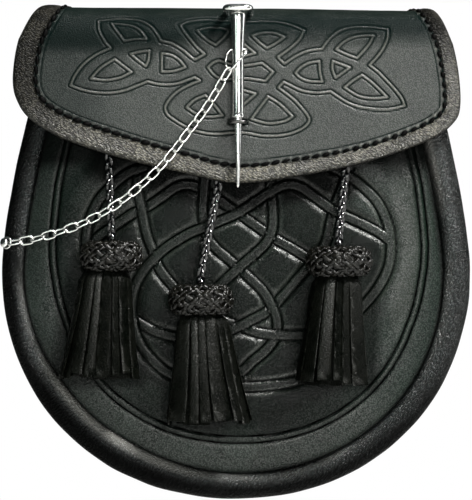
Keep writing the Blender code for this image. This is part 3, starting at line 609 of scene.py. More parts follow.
# ---------------------------------------------------------------- materials

def linear(code):
    """An sRGB hex colour as linear light."""
    shades = [int(code[index:index + 2], 16) / 255 for index in (1, 3, 5)]
    light = [s / 12.92 if s <= 0.04045 else ((s + 0.055) / 1.055) ** 2.4 for s in shades]
    return (*light, 1.0)


def plug(tree, node, **links):
    """Sets or links a node's inputs, by name or number."""
    for name, value in links.items():
        key = int(name[1:]) if name[0] == "i" and name[1:].isdigit() else name.replace("_", " ")
        if isinstance(value, bpy.types.NodeSocket):
            tree.links.new(value, node.inputs[key])
        else:
            node.inputs[key].default_value = value


def add(tree, kind, settings=None, **links):
    """Adds a node: settings are its properties, links its inputs."""
    node = tree.nodes.new("ShaderNode" + kind)
    for name, value in (settings or {}).items():
        setattr(node, name, value)
    plug(tree, node, **links)
    return node


def new_material(name):
    material = bpy.data.materials.new(name)
    material.use_nodes = True
    tree = material.node_tree
    return material, tree, tree.nodes["Principled BSDF"]


def mapped(tree, value, low, high, bottom=0.0, top=1.0):
    """A value from low to high as one from bottom to top."""
    return add(tree, "MapRange", Value=value, From_Min=low, From_Max=high, To_Min=bottom,
               To_Max=top).outputs[0]


def blend(tree, share, first, second, mode="MIX"):
    """A mix of two colours by a share."""
    settings = {"data_type": "RGBA", "blend_type": mode}
    return add(tree, "Mix", settings, Factor=share, i6=first, i7=second).outputs[2]


def ramp(tree, value, low, high, colors):
    """Turns a value between low and high into a mix of two colours."""
    return blend(tree, mapped(tree, value, low, high), *colors)


def scaled(tree, value, factor, offset=0.0):
    """A value times a factor, plus an offset."""
    return add(tree, "Math", {"operation": "MULTIPLY_ADD"}, i0=value, i1=factor,
               i2=offset).outputs[0]


def layer_value(tree, name):
    return add(tree, "Attribute", {"attribute_name": name}).outputs["Fac"]


def scale_for(size):
    """A texture's scale for features that are this many millimetres apart."""
    return 1.0 / (size * MM)


def cloudy(tree, place, size, **links):
    """Noise with features that are size millimetres apart."""
    return add(tree, "TexNoise", Vector=place, Scale=scale_for(size), **links).outputs[0]


GRAIN_LOW, GRAIN_HIGH = -0.15, 0.4      # the range of the grain's height
PORE_SHADES = ((0.2, 0.2, 0.2, 1.0), (1.7, 1.7, 1.7, 1.0))
BURNISH = 0.3           # gloss that the ridge value adds, for rubbing and for painted highlight
WRINKLE = (1.8, 1.0, 0.9)


def leather(name, dark, light, rough, shine, grain, grain_depth, pores=0.0, patch=18.0,
            tooled=False, groove="#010101", ridge="#8d8b86", strips=False, drawn=None,
            mottle=0.0):
    """Tanned cowhide. Colour drifts over patches; the grain is a net of rounded cells; pores are
    fine pits. Tooled pieces carry groove and ridge values: grooves are dark and dull, ridges worn,
    and the same values lay painted shade (groove) and painted highlight and sheen (ridge). Cut
    strips carry a tone each: the hide's polished side or its dull one, raised for painted sheen
    and highlight. Leather pulled round a roll is drawn out into slanting wrinkles. Mottle makes
    the gloss follow the grain."""
    material, tree, shader = new_material(name)
    place = add(tree, "TexCoord").outputs["Object"]
    drift = cloudy(tree, place, patch, Detail=5.0, Roughness=0.6)
    surface = place
    if drawn is not None:
        surface = add(tree, "Mapping", {"vector_type": "TEXTURE"}, Vector=place,
                      Rotation=(0.0, radians(drawn), 0.0), Scale=WRINKLE).outputs[0]
    cells = add(tree, "TexVoronoi", {"feature": "SMOOTH_F1"}, Vector=surface,
                Scale=scale_for(grain), Smoothness=0.4).outputs["Distance"]
    fine = cloudy(tree, surface, grain * 0.6, Detail=4.0, Roughness=0.65)
    height = scaled(tree, cells, -1.0, fine)
    color = ramp(tree, drift, 0.36, 0.64, (linear(dark), linear(light)))
    if pores:
        specks = ramp(tree, height, GRAIN_LOW, GRAIN_HIGH, PORE_SHADES)
        color = blend(tree, pores, color, specks, "MULTIPLY")
    gloss = shine
    if strips:
        tone = layer_value(tree, "tone")
        color = blend(tree, tone, color, linear(ridge))
        gloss = scaled(tree, tone, shine * 5.5, shine * 0.35)
    if tooled:
        pressed, raised = layer_value(tree, "groove"), layer_value(tree, "ridge")
        color = blend(tree, raised, color, linear(ridge))
        color = blend(tree, pressed, color, linear(groove))
        gloss = scaled(tree, raised, BURNISH, scaled(tree, pressed, -shine, shine))
    if mottle:
        speckle = mapped(tree, height, GRAIN_LOW, GRAIN_HIGH, 1 - mottle, 1 + mottle)
        gloss = scaled(tree, gloss, speckle)
    bump = add(tree, "Bump", Strength=1.0, Distance=grain_depth * MM, Height=height)
    plug(tree, shader, Base_Color=color, Normal=bump.outputs[0], Specular_IOR_Level=gloss,
         Roughness=mapped(tree, drift, 0.35, 0.65, rough - 0.05, rough + 0.06))
    return material


def nickel(name, color, rough, scratches):
    """Plated metal: nearly a mirror, with hairline wear and faint clouding."""
    material, tree, shader = new_material(name)
    place = add(tree, "TexCoord").outputs["Object"]
    cloud = cloudy(tree, place, 3.0, Detail=6.0)
    hair = cloudy(tree, place, 0.35, Detail=2.0)
    bump = add(tree, "Bump", Strength=0.3, Distance=scratches * MM, Height=hair)
    plug(tree, shader, Base_Color=ramp(tree, cloud, 0.3, 0.7, [linear(code) for code in color]),
         Roughness=mapped(tree, cloud, 0.3, 0.7, rough, rough + 0.1), Normal=bump.outputs[0],
         Metallic=1.0)
    return material


# Full-grain cowhide of the flap: grey on black, lighter than the front's, with the tooled lines
# burnished darker.
FLAP_LEATHER = leather("waxed cowhide, flap", "#131815", "#1d221e", 0.35, 0.73, 0.55, 0.14,
                       pores=0.35, tooled=True, groove="#020a09", ridge="#46463f", mottle=0.35)
# The same hide on the front: deeper black than the flap, with soft gloss.
PANEL_LEATHER = leather("polished cowhide, front", "#060f0b", "#0c1812", 0.285, 0.33, 0.65, 0.115,
                        pores=0.35, tooled=True, ridge="#1f231f", mottle=0.55)
PLAIN_LEATHER = leather("plain cowhide", "#0e1110", "#181b19", 0.42, 0.4, 0.8, 0.12, pores=0.3)
# Pebbled hide, rolled over the edge: its grain stands in round beads that catch the light.
PEBBLED_LEATHER = leather("pebbled cowhide, welt", "#030909", "#0b1616", 0.29, 0.57, 0.8, 0.6,
                          pores=0.9, patch=9.0, tooled=True, drawn=-50.0, mottle=0.35)
BINDING_LEATHER = leather("pebbled cowhide, binding", "#292823", "#4c493f", 0.34, 0.66, 0.75, 0.6,
                          pores=1.0, patch=12.0, tooled=True, drawn=25.0, mottle=0.3)
# Suede-like back of the hide, as a lining.
LINING_LEATHER = leather("flesh side of cowhide", "#100e0c", "#1a1714", 0.8, 0.2, 0.5, 0.05,
                         pores=0.3)
# Waxed lace: nearly black and wet-looking, with small bright glints.
LACE_LEATHER = leather("waxed leather lace", "#020203", "#050506", 0.16, 0.7, 0.8, 0.01)
# Fringe cut from the hide: some strips show the polished side and some the dull one; the strip that
# faces the viewer, the tops and the edges carry painted sheen and highlight.
FRINGE_LEATHER = leather("cut fringe leather", "#020302", "#070806", 0.29, 0.037, 0.9, 0.24,
                         pores=0.4, patch=5.0, strips=True, ridge="#0d0e0b")
KNOT_LEATHER = leather("woven lace of the knots", "#040403", "#0c0b07", 0.27, 0.24, 0.9, 0.15,
                       pores=0.4, patch=3.0)
# Waxed linen thread, black and slightly shiny.
THREAD = leather("waxed linen thread", "#020202", "#040404", 0.5, 0.03, 0.35, 0.05)
BRIGHT_NICKEL = nickel("bright nickel plate", ("#c9cac8", "#dcdcda"), 0.17, 0.002)
DARK_NICKEL = nickel("darkened nickel plate", ("#3a3a3a", "#565654"), 0.25, 0.004)


# ---------------------------------------------------------------- camera, stage and light

CAMERA_Z = -71.25       # the picture's middle
CAMERA_DISTANCE = 2500.0
PICTURE_PLANE_Y = -45.0
PICTURE_HEIGHT = 208.33

camera_data = bpy.data.cameras.new("camera")
camera_data.sensor_width = 36.0
camera_data.lens = camera_data.sensor_width * CAMERA_DISTANCE / PICTURE_HEIGHT
camera_data.clip_end = 20.0
camera = into_scene("camera", camera_data)
camera.location = Vector((0.0, PICTURE_PLANE_Y - CAMERA_DISTANCE, CAMERA_Z)) * MM
camera.rotation_euler = (radians(90.0), 0.0, 0.0)
bpy.context.scene.camera = camera
bpy.context.scene.view_settings.view_transform = "Standard"

FLOOR_Z = -0.62         # metres

floor_bm = bmesh.new()
bmesh.ops.create_grid(floor_bm, x_segments=1, y_segments=1, size=3.0)
bmesh.ops.translate(floor_bm, vec=Vector((0.0, 0.0, FLOOR_Z)), verts=floor_bm.verts)
floor_mesh = bpy.data.meshes.new("floor")
floor_bm.to_mesh(floor_mesh)
floor_bm.free()
floor_material, floor_tree, floor_shader = new_material("pale studio floor")
floor_place = add(floor_tree, "TexCoord").outputs["Object"]
floor_cloud = add(floor_tree, "TexNoise", Vector=floor_place, Scale=1.5).outputs[0]
floor_colors = (linear("#e9e9e7"), linear("#f2f2f0"))
plug(floor_tree, floor_shader, Base_Color=ramp(floor_tree, floor_cloud, 0.3, 0.7, floor_colors),
     Roughness=0.8)
floor_mesh.materials.append(floor_material)
into_scene("floor", floor_mesh)

# White to the eye, and softer than that as light, brighter overhead than below.
WHITE = (1.0, 1.0, 1.0, 1.0)
SKY_TINT = (0.7, 1.0, 0.97, 1.0)

world = bpy.data.worlds.new("studio")
world.use_nodes = True
sky = world.node_tree
direction = add(sky, "TexCoord").outputs["Generated"]
heading = add(sky, "SeparateXYZ", Vector=direction).outputs["Z"]
upward = mapped(sky, heading, -0.4, 0.9, 0.012, 0.04)
seen = add(sky, "LightPath").outputs["Is Camera Ray"]
glow = add(sky, "Mix", {"data_type": "FLOAT"}, Factor=seen, i2=upward, i3=1.0).outputs[0]
plug(sky, sky.nodes["Background"], Strength=glow, Color=blend(sky, seen, SKY_TINT, WHITE))
bpy.context.scene.world = world

SoftBox = namedtuple("SoftBox", "name place aim width height power tint")
SOFT_BOXES = [SoftBox(*row) for row in (
    ("front sheen, a little to the right", (0.24, -2.2, 0.0), (0.0, -0.05, -0.07), 0.42, 0.36,
     15.5, (1.0, 0.98, 0.94)),
    ("front fill, left", (-0.9, -1.6, 0.2), (0.0, -0.05, -0.07), 0.4, 0.6, 5.0, (0.84, 1.0, 0.92)),
    ("upper right", (0.76, -0.76, 1.32), (0.0, -0.05, -0.08), 0.3, 0.3, 96.0, (1.0, 0.99, 0.96)),
    ("relief, nearer upper right", (0.62, -1.8, 0.48), (0.0, -0.05, -0.09), 0.24, 0.24, 9.0,
     (1.0, 1.0, 0.97)),
    ("right sheen", (0.9, -2.0, -0.15), (0.05, -0.05, -0.1), 0.3, 0.5, 5.0, (1.0, 0.99, 0.97)),
    ("far right edge", (1.5, 0.1, 0.1), (0.05, -0.03, -0.08), 0.4, 1.2, 8.0, (1.0, 1.0, 1.0)),
)]
for box in SOFT_BOXES:
    lamp = bpy.data.lights.new(box.name, "AREA")
    lamp.shape = "RECTANGLE"
    lamp.size, lamp.size_y = box.width, box.height
    lamp.energy = box.power
    lamp.color = box.tint
    holder = into_scene(box.name, lamp)
    holder.location = box.place
    aim = Vector(box.aim) - Vector(box.place)
    holder.rotation_euler = aim.to_track_quat("-Z", "Y").to_euler()


# ---------------------------------------------------------------- laces (the cords)

PLAIT_PERIOD = 13.0     # one strand's way from side to side and back
PLAIT_STRANDS = 3
PLAIT_RISE, PLAIT_SWAY = 0.92, 0.5
PLAIT_HALF, PLAIT_THIN = 0.62, 0.95     # a strand's half width and half depth


def plaited_lace(tassel):
    """Three flat strands laid over each other in turn, along the lace's route."""
    route = hanger_route(tassel)
    length = run_length(route)
    fine = resample(smooth_curve(route, 6), 150)
    sides = frames(fine, Vector((1, 0, 0)))
    bm = bmesh.new()
    for strand in range(PLAIT_STRANDS):
        points = []
        for index, (point, (side, over)) in enumerate(zip(fine, sides)):
            way = length * index / (len(fine) - 1)
            turn = 2 * pi * (way / PLAIT_PERIOD + strand / PLAIT_STRANDS)
            shift = over * (PLAIT_RISE * sin(turn)) + side * (PLAIT_SWAY * sin(2 * turn))
            points.append(point + shift)
        sweep(bm, points, lambda turn, share: (PLAIT_HALF * cos(turn), PLAIT_THIN * sin(turn)), 8,
              up=Vector((1, 0, 0)))
    piece = finish_piece(f"plaited_lace_{tassel.name}", bm, LACE_LEATHER, [f"hanger_{tassel.name}"],
                         180.0)
    leaves = [point * MM for point in route]
    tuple(leaves[3])


for each in TASSELS:
    plaited_lace(each)


# ---------------------------------------------------------------- the flap

SHEET_IN = 1.5          # the flap's leather ends here, in half widths of the binding
STITCH_IN = 2.08        # and its stitches run here
HOLES_IN = 0.7          # from the stitches to the puckers beside them
CREASE_IN = 2.0         # from the stitches to the fine crease beside them
RIDGE_APART = 0.85      # from a tooled line's light ridge to its dark groove on each side
GROOVE_SPREAD = 0.36
GROOVE_DEPTH = 0.42
SLOT_HALF_WIDTH, SLOT_HALF_HEIGHT = 4.0, 1.3
STITCH_PITCH = 4.2
STITCH_LENGTH = 3.4
STITCH_THICK = 1.9
STITCH_SLANT = 11.0
BACK_SEAM_IN = 4.5
BACK_STITCH_PITCH = 3.4
FINE = 0.15             # spacing of the points that stand for a drawn line


def flap_course(station):
    """Depth, height and outward direction of the flap's outer face along its length."""
    if station <= LEAF_LENGTH:
        return Vector((LEAF_Y, LEAF_BOTTOM_Z + station)), Vector((1, 0))
    if station <= TOP_START:
        turn = (station - LEAF_LENGTH) / REAR_BEND
        out = Vector((cos(turn), sin(turn)))
        return Vector((LEAF_Y - REAR_BEND, TOP_Z - REAR_BEND)) + out * REAR_BEND, out
    if station <= TOP_END:
        return Vector((LEAF_Y - REAR_BEND - (station - TOP_START), TOP_Z)), Vector((0, 1))
    if station <= FRONT_START:
        turn = (station - TOP_END) / FRONT_BEND
        out = Vector((-sin(turn), cos(turn)))
        return Vector((FLAP_Y + FRONT_BEND, TOP_Z - FRONT_BEND)) + out * FRONT_BEND, out
    return Vector((FLAP_Y, TOP_Z - FRONT_BEND - (station - FRONT_START))), Vector((-1, 0))


def flap_point(across, station, lift=0.0):
    """A place on the flap's outer face, or lift above it."""
    place, out = flap_course(station)
    weight = fade(station, TOP_END, FRONT_START - TOP_END)
    sink = CURL * weight * (abs(across) / CURL_AT) ** CURL_POWER
    place = place + out * (lift - sink)
    return Vector((across, place.x, place.y - FLAP_TILT * across))


def front_station(across, height):
    """Station of a place seen from the front, on the front leaf or on its bend."""
    level = height + FLAP_TILT * across - (TOP_Z - FRONT_BEND)
    if level <= 0:
        return FRONT_START - level
    return TOP_END + FRONT_BEND * acos(min(1.0, level / FRONT_BEND))


def flap_edges():
    """The flap's flat outline, and where its two lower corners are in it."""
    lower = [Vector((row.across, front_station(*row))) for row in FLAP_LOWER_EDGE]
    left = [Vector((row.left, row.station)) for row in FLAP_SIDES]
    right = [Vector((row.right, row.station)) for row in reversed(FLAP_SIDES)]
    return smooth_curve(left + lower + right, 8), len(left) * 8, (len(left) + len(lower) - 1) * 8


FLAP_CURVE, FLAP_CORNER_LEFT, FLAP_CORNER_RIGHT = flap_edges()


def binding_reach(point):
    """Half of the binding's width beside a point of the flap's edge."""
    end = BINDING_LEFT if point.x < 0 else BINDING_RIGHT
    return BINDING_MIDDLE + (end - BINDING_MIDDLE) * fade(abs(point.x), 0.0, 60.0)


def flap_inset(halves, extra=0.0):
    """The flap's outline moved inwards, by half widths of its binding and a distance."""
    return inset(FLAP_CURVE, lambda point: -halves * binding_reach(point) - extra)


def seen_from_front(points):
    return [Vector((point.x, point.z)) for point in points]


from_flap_edge = distance_from(seen_from_front(
    flap_point(point.x, point.y) for point in resample(FLAP_CURVE, 1500)))


def across_at(run, station):
    """Where a side of the outline crosses a station."""
    for first, second in zip(run, run[1:]):
        low, high = sorted((first.y, second.y))
        if low <= station <= high and high > low:
            return first.lerp(second, (station - first.y) / (second.y - first.y)).x
    return min(run, key=lambda point: abs(point.y - station)).x


def flap_sheet(columns, rows):
    """The flap's leather laid flat, as a grid: x is across and y the station."""
    edge = flap_inset(SHEET_IN)
    left = edge[:FLAP_CORNER_LEFT + 1]
    lower = resample(edge[FLAP_CORNER_LEFT:FLAP_CORNER_RIGHT + 1], 801)
    right = edge[FLAP_CORNER_RIGHT:]
    straight = min(left[-1].y, right[0].y)
    deepest = max(point.y for point in lower)

    @cache
    def ends(station):
        return across_at(left, station), across_at(right, station)

    def place(u, v):
        share = u + CORNER_CROWDING * (0.5 - 0.5 * cos(pi * u) - u)
        station = v * deepest
        if station <= straight:
            low, high = ends(round(station, 6))
            return Vector((low + (high - low) * share, station, 0.0))
        top = left[-1].lerp(right[0], share)
        down = (station - straight) / (deepest - straight)
        return top.lerp(lower[round(share * (len(lower) - 1))], down).to_3d()

    return shaped_grid(columns, rows, place, merge=0.01)


def knot_lines():
    points = []
    for line in FLAP_KNOT:
        places = [Vector((across, front_station(across, height))) for across, height in line.points]
        stops = (0, *line.corners, len(places) - 1)
        for start, stop in zip(stops, stops[1:]):
            points += spaced(smooth_curve(places[start:stop + 1], 8), FINE, 4)
    return points


def stitch_line(extra=0.0):
    return [point for point in flap_inset(STITCH_IN, extra) if point.y > BINDING_START + 8.0]


def flap_leather():
    """The outer leather, with the knot pressed into it as pairs of grooves."""
    bm = flap_sheet(124, 98)
    knot = distance_from(knot_lines())
    thread_run = stitch_line()
    stitches = spaced(thread_run, STITCH_PITCH)
    inner = resample(stitch_line(HOLES_IN), len(stitches))
    holes = distance_from([first.lerp(second, 0.5) for first, second in zip(inner, inner[1:])])
    sewn, pulled = distance_from(spaced(thread_run, 0.2)), distance_from(stitches)
    crease = distance_from(spaced(stitch_line(CREASE_IN), 0.2))
    refine(bm, lambda place: knot(place) < 3.4)
    refine(bm, lambda place: knot(place) < 2.0 or crease(place) < 2.2)
    pressed, raised = wear_layers(bm)
    slot_station = front_station(PIN_ACROSS, STAPLE_Z)
    for vert in bm.verts:
        flat = vert.co.copy()
        x, station, _ = flat
        groove = hump(knot(flat), RIDGE_APART, GROOVE_SPREAD)
        ridge = hump(knot(flat), 0.0, GROOVE_SPREAD)
        beside = hump(crease(flat), 0.0, 0.34)
        # The staple's slot is not cut: the sheet dips there and is painted black as the shade
        # inside it.
        slot = max(abs(x - PIN_ACROSS) / SLOT_HALF_WIDTH,
                   abs(station - slot_station) / SLOT_HALF_HEIGHT)
        opening = 1.0 - fade(slot, 0.85, 0.3)
        thread = hump(pulled(flat), 0.0, 1.7)
        pucker = hump(holes(flat), 0.0, 0.75) * (0.8 + noise.noise(flat * 0.9))
        pucker *= 0.45 + 0.55 * fade(x, -10.0, 60.0)
        channel = hump(sewn(flat), 0.0, 0.9) * (1 - pucker)
        # Painted shade: darkest towards the fold and fading over its top, laid on the left side as
        # well, and a little everywhere.
        height = flap_point(x, station).z
        rightward = fade(x, -60.0, 70.0)
        painted_shade = (0.9 + 0.04 * rightward) * fade(height, 2.0 + 6.0 * rightward, 13.0)
        painted_shade -= (0.22 + 0.3 * rightward) * fade(height, 24.0, 5.0)
        painted_shade = max(painted_shade, 0.56 * fade(x, -30.0, -40.0), 0.2)
        vert[pressed] = min(1.0, max(1.25 * groove, 1.1 * beside, opening, 1.2 * channel, painted_shade))
        # Painted highlight: the ridge between a tooled line's two grooves and the puckers beside
        # the stitches are painted lighter and glossier.
        vert[raised] = max(0.9 * ridge * (1 - groove), pucker * (1 - beside))
        lift = 0.35 * noise.noise(flat * 0.022) + 0.06 * noise.noise(flat * 0.16)
        lift += 0.12 * ridge - GROOVE_DEPTH * groove - 0.22 * beside - 1.1 * opening
        lift += 0.35 * pucker - 0.25 * thread - 0.15 * channel
        vert.co = flap_point(x, station, lift)
    turn_faces(bm, -1)
    finish_piece("flap_leather", bm, FLAP_LEATHER, ["flap"], 180.0, close=False)


def flap_lining():
    bm = flap_sheet(60, 70)
    for vert in bm.verts:
        vert.co = flap_point(vert.co.x, vert.co.y, -PANEL_WALL)
    turn_faces(bm, 1)
    finish_piece("flap_lining", bm, LINING_LEATHER, ["flap"], 180.0, close=False)


def flap_binding():
    """Pebbled leather rolled over the flap's edge."""
    path = resample([core for core in flap_inset(1.0) if core.y >= BINDING_START], 420)
    rings = [(core, Vector((tangent.y, -tangent.x)), binding_reach(core))
             for core, tangent in zip(path, tangents(path))]

    def place(u, ring):
        core, side, reach = ring
        turn = 2 * pi * u
        flat = core + side * reach * cos(turn)
        swell = 1.0 + 0.07 * noise.noise(Vector((core.x * 0.09, core.y * 0.09, cos(turn))))
        lift = (BINDING_HALF_DEPTH + 0.2) * bent(sin(turn), 0.75) * swell
        return flap_point(flat.x, flat.y, lift - PANEL_WALL / 2)

    bm = ring_grid(24, rings, place, merge=0.0005)
    pressed, _ = wear_layers(bm)
    for vert in bm.verts:
        x, _, z = vert.co
        # Painted shade: darker up the binding's sides, reaching further down on the left, and
        # darkest along the flap's outer edge where the roll turns under.
        upper = 0.8 * fade(z, -31.0 if x < 0 else -2.0, 26.0)
        vert[pressed] = max(upper, 0.9 * (1 - fade(from_flap_edge((x, z)), 0.1, 0.9)))
    finish_piece("flap_binding_roll", bm, BINDING_LEATHER, ["flap_binding"],
                 180.0)


def stitch_row(bm, places, gauge=1.0):
    """Adds one rounded stitch at each place: middle, direction along and direction out."""
    for middle, run, out in places:
        turn = Matrix((run, run.cross(out).normalized(), out)).transposed().to_4x4()
        long = STITCH_LENGTH * (1.25 - 0.35 * fade(middle.x, 10.0, 50.0)) * gauge
        thick = STITCH_THICK * (0.95 + 0.5 * noise.noise(middle * 0.4)) * gauge
        size = Matrix.Diagonal((long, thick, thick, 1.0))
        bmesh.ops.create_uvsphere(bm, u_segments=8, v_segments=5, radius=0.5,
                                  matrix=Matrix.Translation(middle) @ turn @ size)


def sew(name, places, gauge=1.0):
    """A piece of stitches in waxed thread."""
    bm = bmesh.new()
    stitch_row(bm, places, gauge)
    finish_piece(name, bm, THREAD, (), 180.0)


def flap_stitches():
    flat = spaced(stitch_line(), STITCH_PITCH)
    points = [flap_point(core.x, core.y, 0.12) for core in flat]
    places = []
    for core, point, run in zip(flat, points, tangents(points)):
        out = (flap_point(core.x, core.y, 1.0) - point).normalized()
        slant = Matrix.Rotation(radians(STITCH_SLANT), 3, out) @ run
        places.append((point, (slant - out * slant.dot(out)).normalized(), out))
    sew("flap_stitches", places)


flap_leather()
flap_lining()
flap_binding()
flap_stitches()


# ---------------------------------------------------------------- the front panel

TURN_IN = 1.25          # how far the front turns in towards the welt's seam
TURN_REACH = 9.5
BAND_HALF = 1.75        # half of a raised band of the knot
BAND_RISE = 0.65
PILLOW = 0.8            # how far the leather between the bands swells
CUT_OUT = 2.55          # the dark groove beside a band ends here
RIM_OUT = 3.9           # the lighter shoulder beyond it ends here
FRAME_APART = 1.45      # the frame line's two grooves, from its middle
KNOT_CENTRE, KNOT_RADIUS = Vector((4.0, -88.0)), 53.0
SIDE_SHARES = (0.0, 0.3)        # where the outline's left side begins and ends in the grid


def crosses(a, b, c, d):
    """Whether the stretch from a to b crosses the one from c to d."""
    def turn(first, second, third):
        return (second - first).cross(third - first)
    return turn(a, b, c) * turn(a, b, d) < 0 and turn(c, d, a) * turn(c, d, b) < 0


def crossings(runs):
    """Where the runs cross each other or themselves, as pairs of (run, index) places."""
    grid = {}
    for which, run in enumerate(runs):
        for index, point in enumerate(run[:-1]):
            grid.setdefault((round(point.x), round(point.y)), []).append((which, index))
    met = []
    for which, run in enumerate(runs):
        for index, point in enumerate(run[:-1]):
            near = [place for x in (-1, 0, 1) for y in (-1, 0, 1)
                    for place in grid.get((round(point.x) + x, round(point.y) + y), ())]
            for other, place in near:
                later = (other, place) > (which, index + 4 if other == which else -1)
                if later and crosses(*run[index:index + 2], *runs[other][place:place + 2]):
                    met.append(((which, index), (other, place)))
    return met


def strand_legs():
    """The knot's strands cut halfway between crossings, over and under in turn."""
    runs = [spaced(smooth_curve([Vector(point) for point in strand.points], 10), 0.5)
            for strand in PANEL_KNOT]
    met = crossings(runs)
    level = {}          # by crossing: the strand that met it first, and whether that is on top
    legs = []
    for which, run in enumerate(runs):
        stops = sorted((place, number) for number, pair in enumerate(met)
                       for strand, place in pair if strand == which)
        votes = 0
        for turn, (place, number) in enumerate(stops):
            if number in level and level[number][0] != which:
                votes += 1 if level[number][1] != (turn % 2 == 0) else -1
        for turn, (place, number) in enumerate(stops):
            if number in level:
                over = not level[number][1]
            else:
                over = (votes >= 0) == (turn % 2 == 0)
                level[number] = (which, over)
            if any((run[place] - Vector(spot)).length < 6.0 for spot in TURNED_CROSSINGS):
                over = not over
            before = stops[turn - 1][0] if turn else -place
            after = stops[turn + 1][0] if turn + 1 < len(stops) else 2 * len(run)
            start = max(0, (place + before) // 2 - 1)
            stop = min(len(run), (place + after) // 2 + 2)
            legs.append((over, run[start:stop]))
    return legs


class Bands:
    """How far a place is from the nearest strand that lies over, or under, at that place."""

    def __init__(self, legs, over):
        points, self.ends = [], set()
        for leg in (leg for on_top, leg in legs if on_top == over):
            fine = spaced(leg, FINE, 4)
            self.ends.update((len(points), len(points) + len(fine) - 1))
            points += fine
        self.tree = point_tree(points)

    def near(self, place):
        return self.tree.find(place)[2]

    def away(self, place):
        """The distance, or a large one where the nearest place is a leg's end."""
        _, index, distance = self.tree.find(place)
        return 99.0 if index in self.ends else distance


def band_shape(away):
    """Height, darkness and lightness across a raised band, the groove beside it and the
    pillowed leather beyond. The band's crest is painted a little darker as shade; its brim and the
    cells' shoulders are painted lighter and glossier, partly rubbed wear and partly painted
    highlight."""
    if away < BAND_HALF:
        crown = sqrt(1 - (away / BAND_HALF) ** 2)
        brim = fade(away, 0.8, 0.6)
        return BAND_RISE * crown ** 0.6, 0.3 * (1 - brim), 0.15 + 0.75 * brim
    if away < CUT_OUT:
        share = sin(pi * (away - BAND_HALF) / (CUT_OUT - BAND_HALF))
        return -0.6 * share, min(1.0, 1.25 * share), 0.0
    beyond = away - CUT_OUT
    pillow = (0.5 * fade(beyond, 0.0, 1.7) + PILLOW * (1 - exp(-beyond / 4.0))) * (
        1 - fade(away, 8.0, 9.0))
    edge = hump(away, RIM_OUT + 0.3, 0.3)
    # The cells' shoulders: rubbed wear and painted highlight.
    worn = hump(away, CUT_OUT + 0.75, 0.7)
    return pillow - 0.06 * edge, 0.35 * edge, 0.95 * worn


def frame_reach(point):
    """How far inside the pouch's outline the frame line runs."""
    return between(FRAME_REACHES, point.y) - FRAME_LEAN * point.x / HALF_WIDTH


def tassel_reach(tassel, x, z):
    """How far a place of the front is from the tassel that rests on it."""
    top = tassel.head_height + HEAD_HALF_HEIGHT
    share = min(1.0, max(0.0, (top - z) / (top - tassel.skirt_foot_height)))
    middle = tassel.head_across + (tassel.skirt_foot_across - tassel.head_across) * share
    half = tassel.head_half_width + (tassel.skirt_foot_half - tassel.head_half_width) * share
    beyond = max(z - top, tassel.skirt_foot_height - z, 0.0)
    return hypot(max(0.0, abs(x - middle) - half), beyond)


def front_sheet():
    """The front's leather laid flat, as a grid that fills its outline."""
    outline = inset(body_outline(MOUTH_Z, 1201), lambda point: 1.7 * welt_reach(point))
    start, stop = SIDE_SHARES

    def on_rim(a, b):
        if abs(a) > abs(b):
            down = start + (stop - start) * (0.5 - b / (2 * abs(a)))
            return along(outline, down if a < 0 else 1.0 - down)
        run = 0.5 + a / (2 * abs(b))
        if b < 0:
            return along(outline, stop + (1.0 - 2 * stop) * run)
        return outline[0].lerp(outline[-1], run)

    def place(u, v):
        a, b = 2 * u - 1, 2 * v - 1
        share = max(abs(a), abs(b))
        flat = PANEL_MIDDLE.lerp(on_rim(a, b), share) if share > 1e-6 else PANEL_MIDDLE
        return flat.to_3d()

    return shaped_grid(116, 116, place)


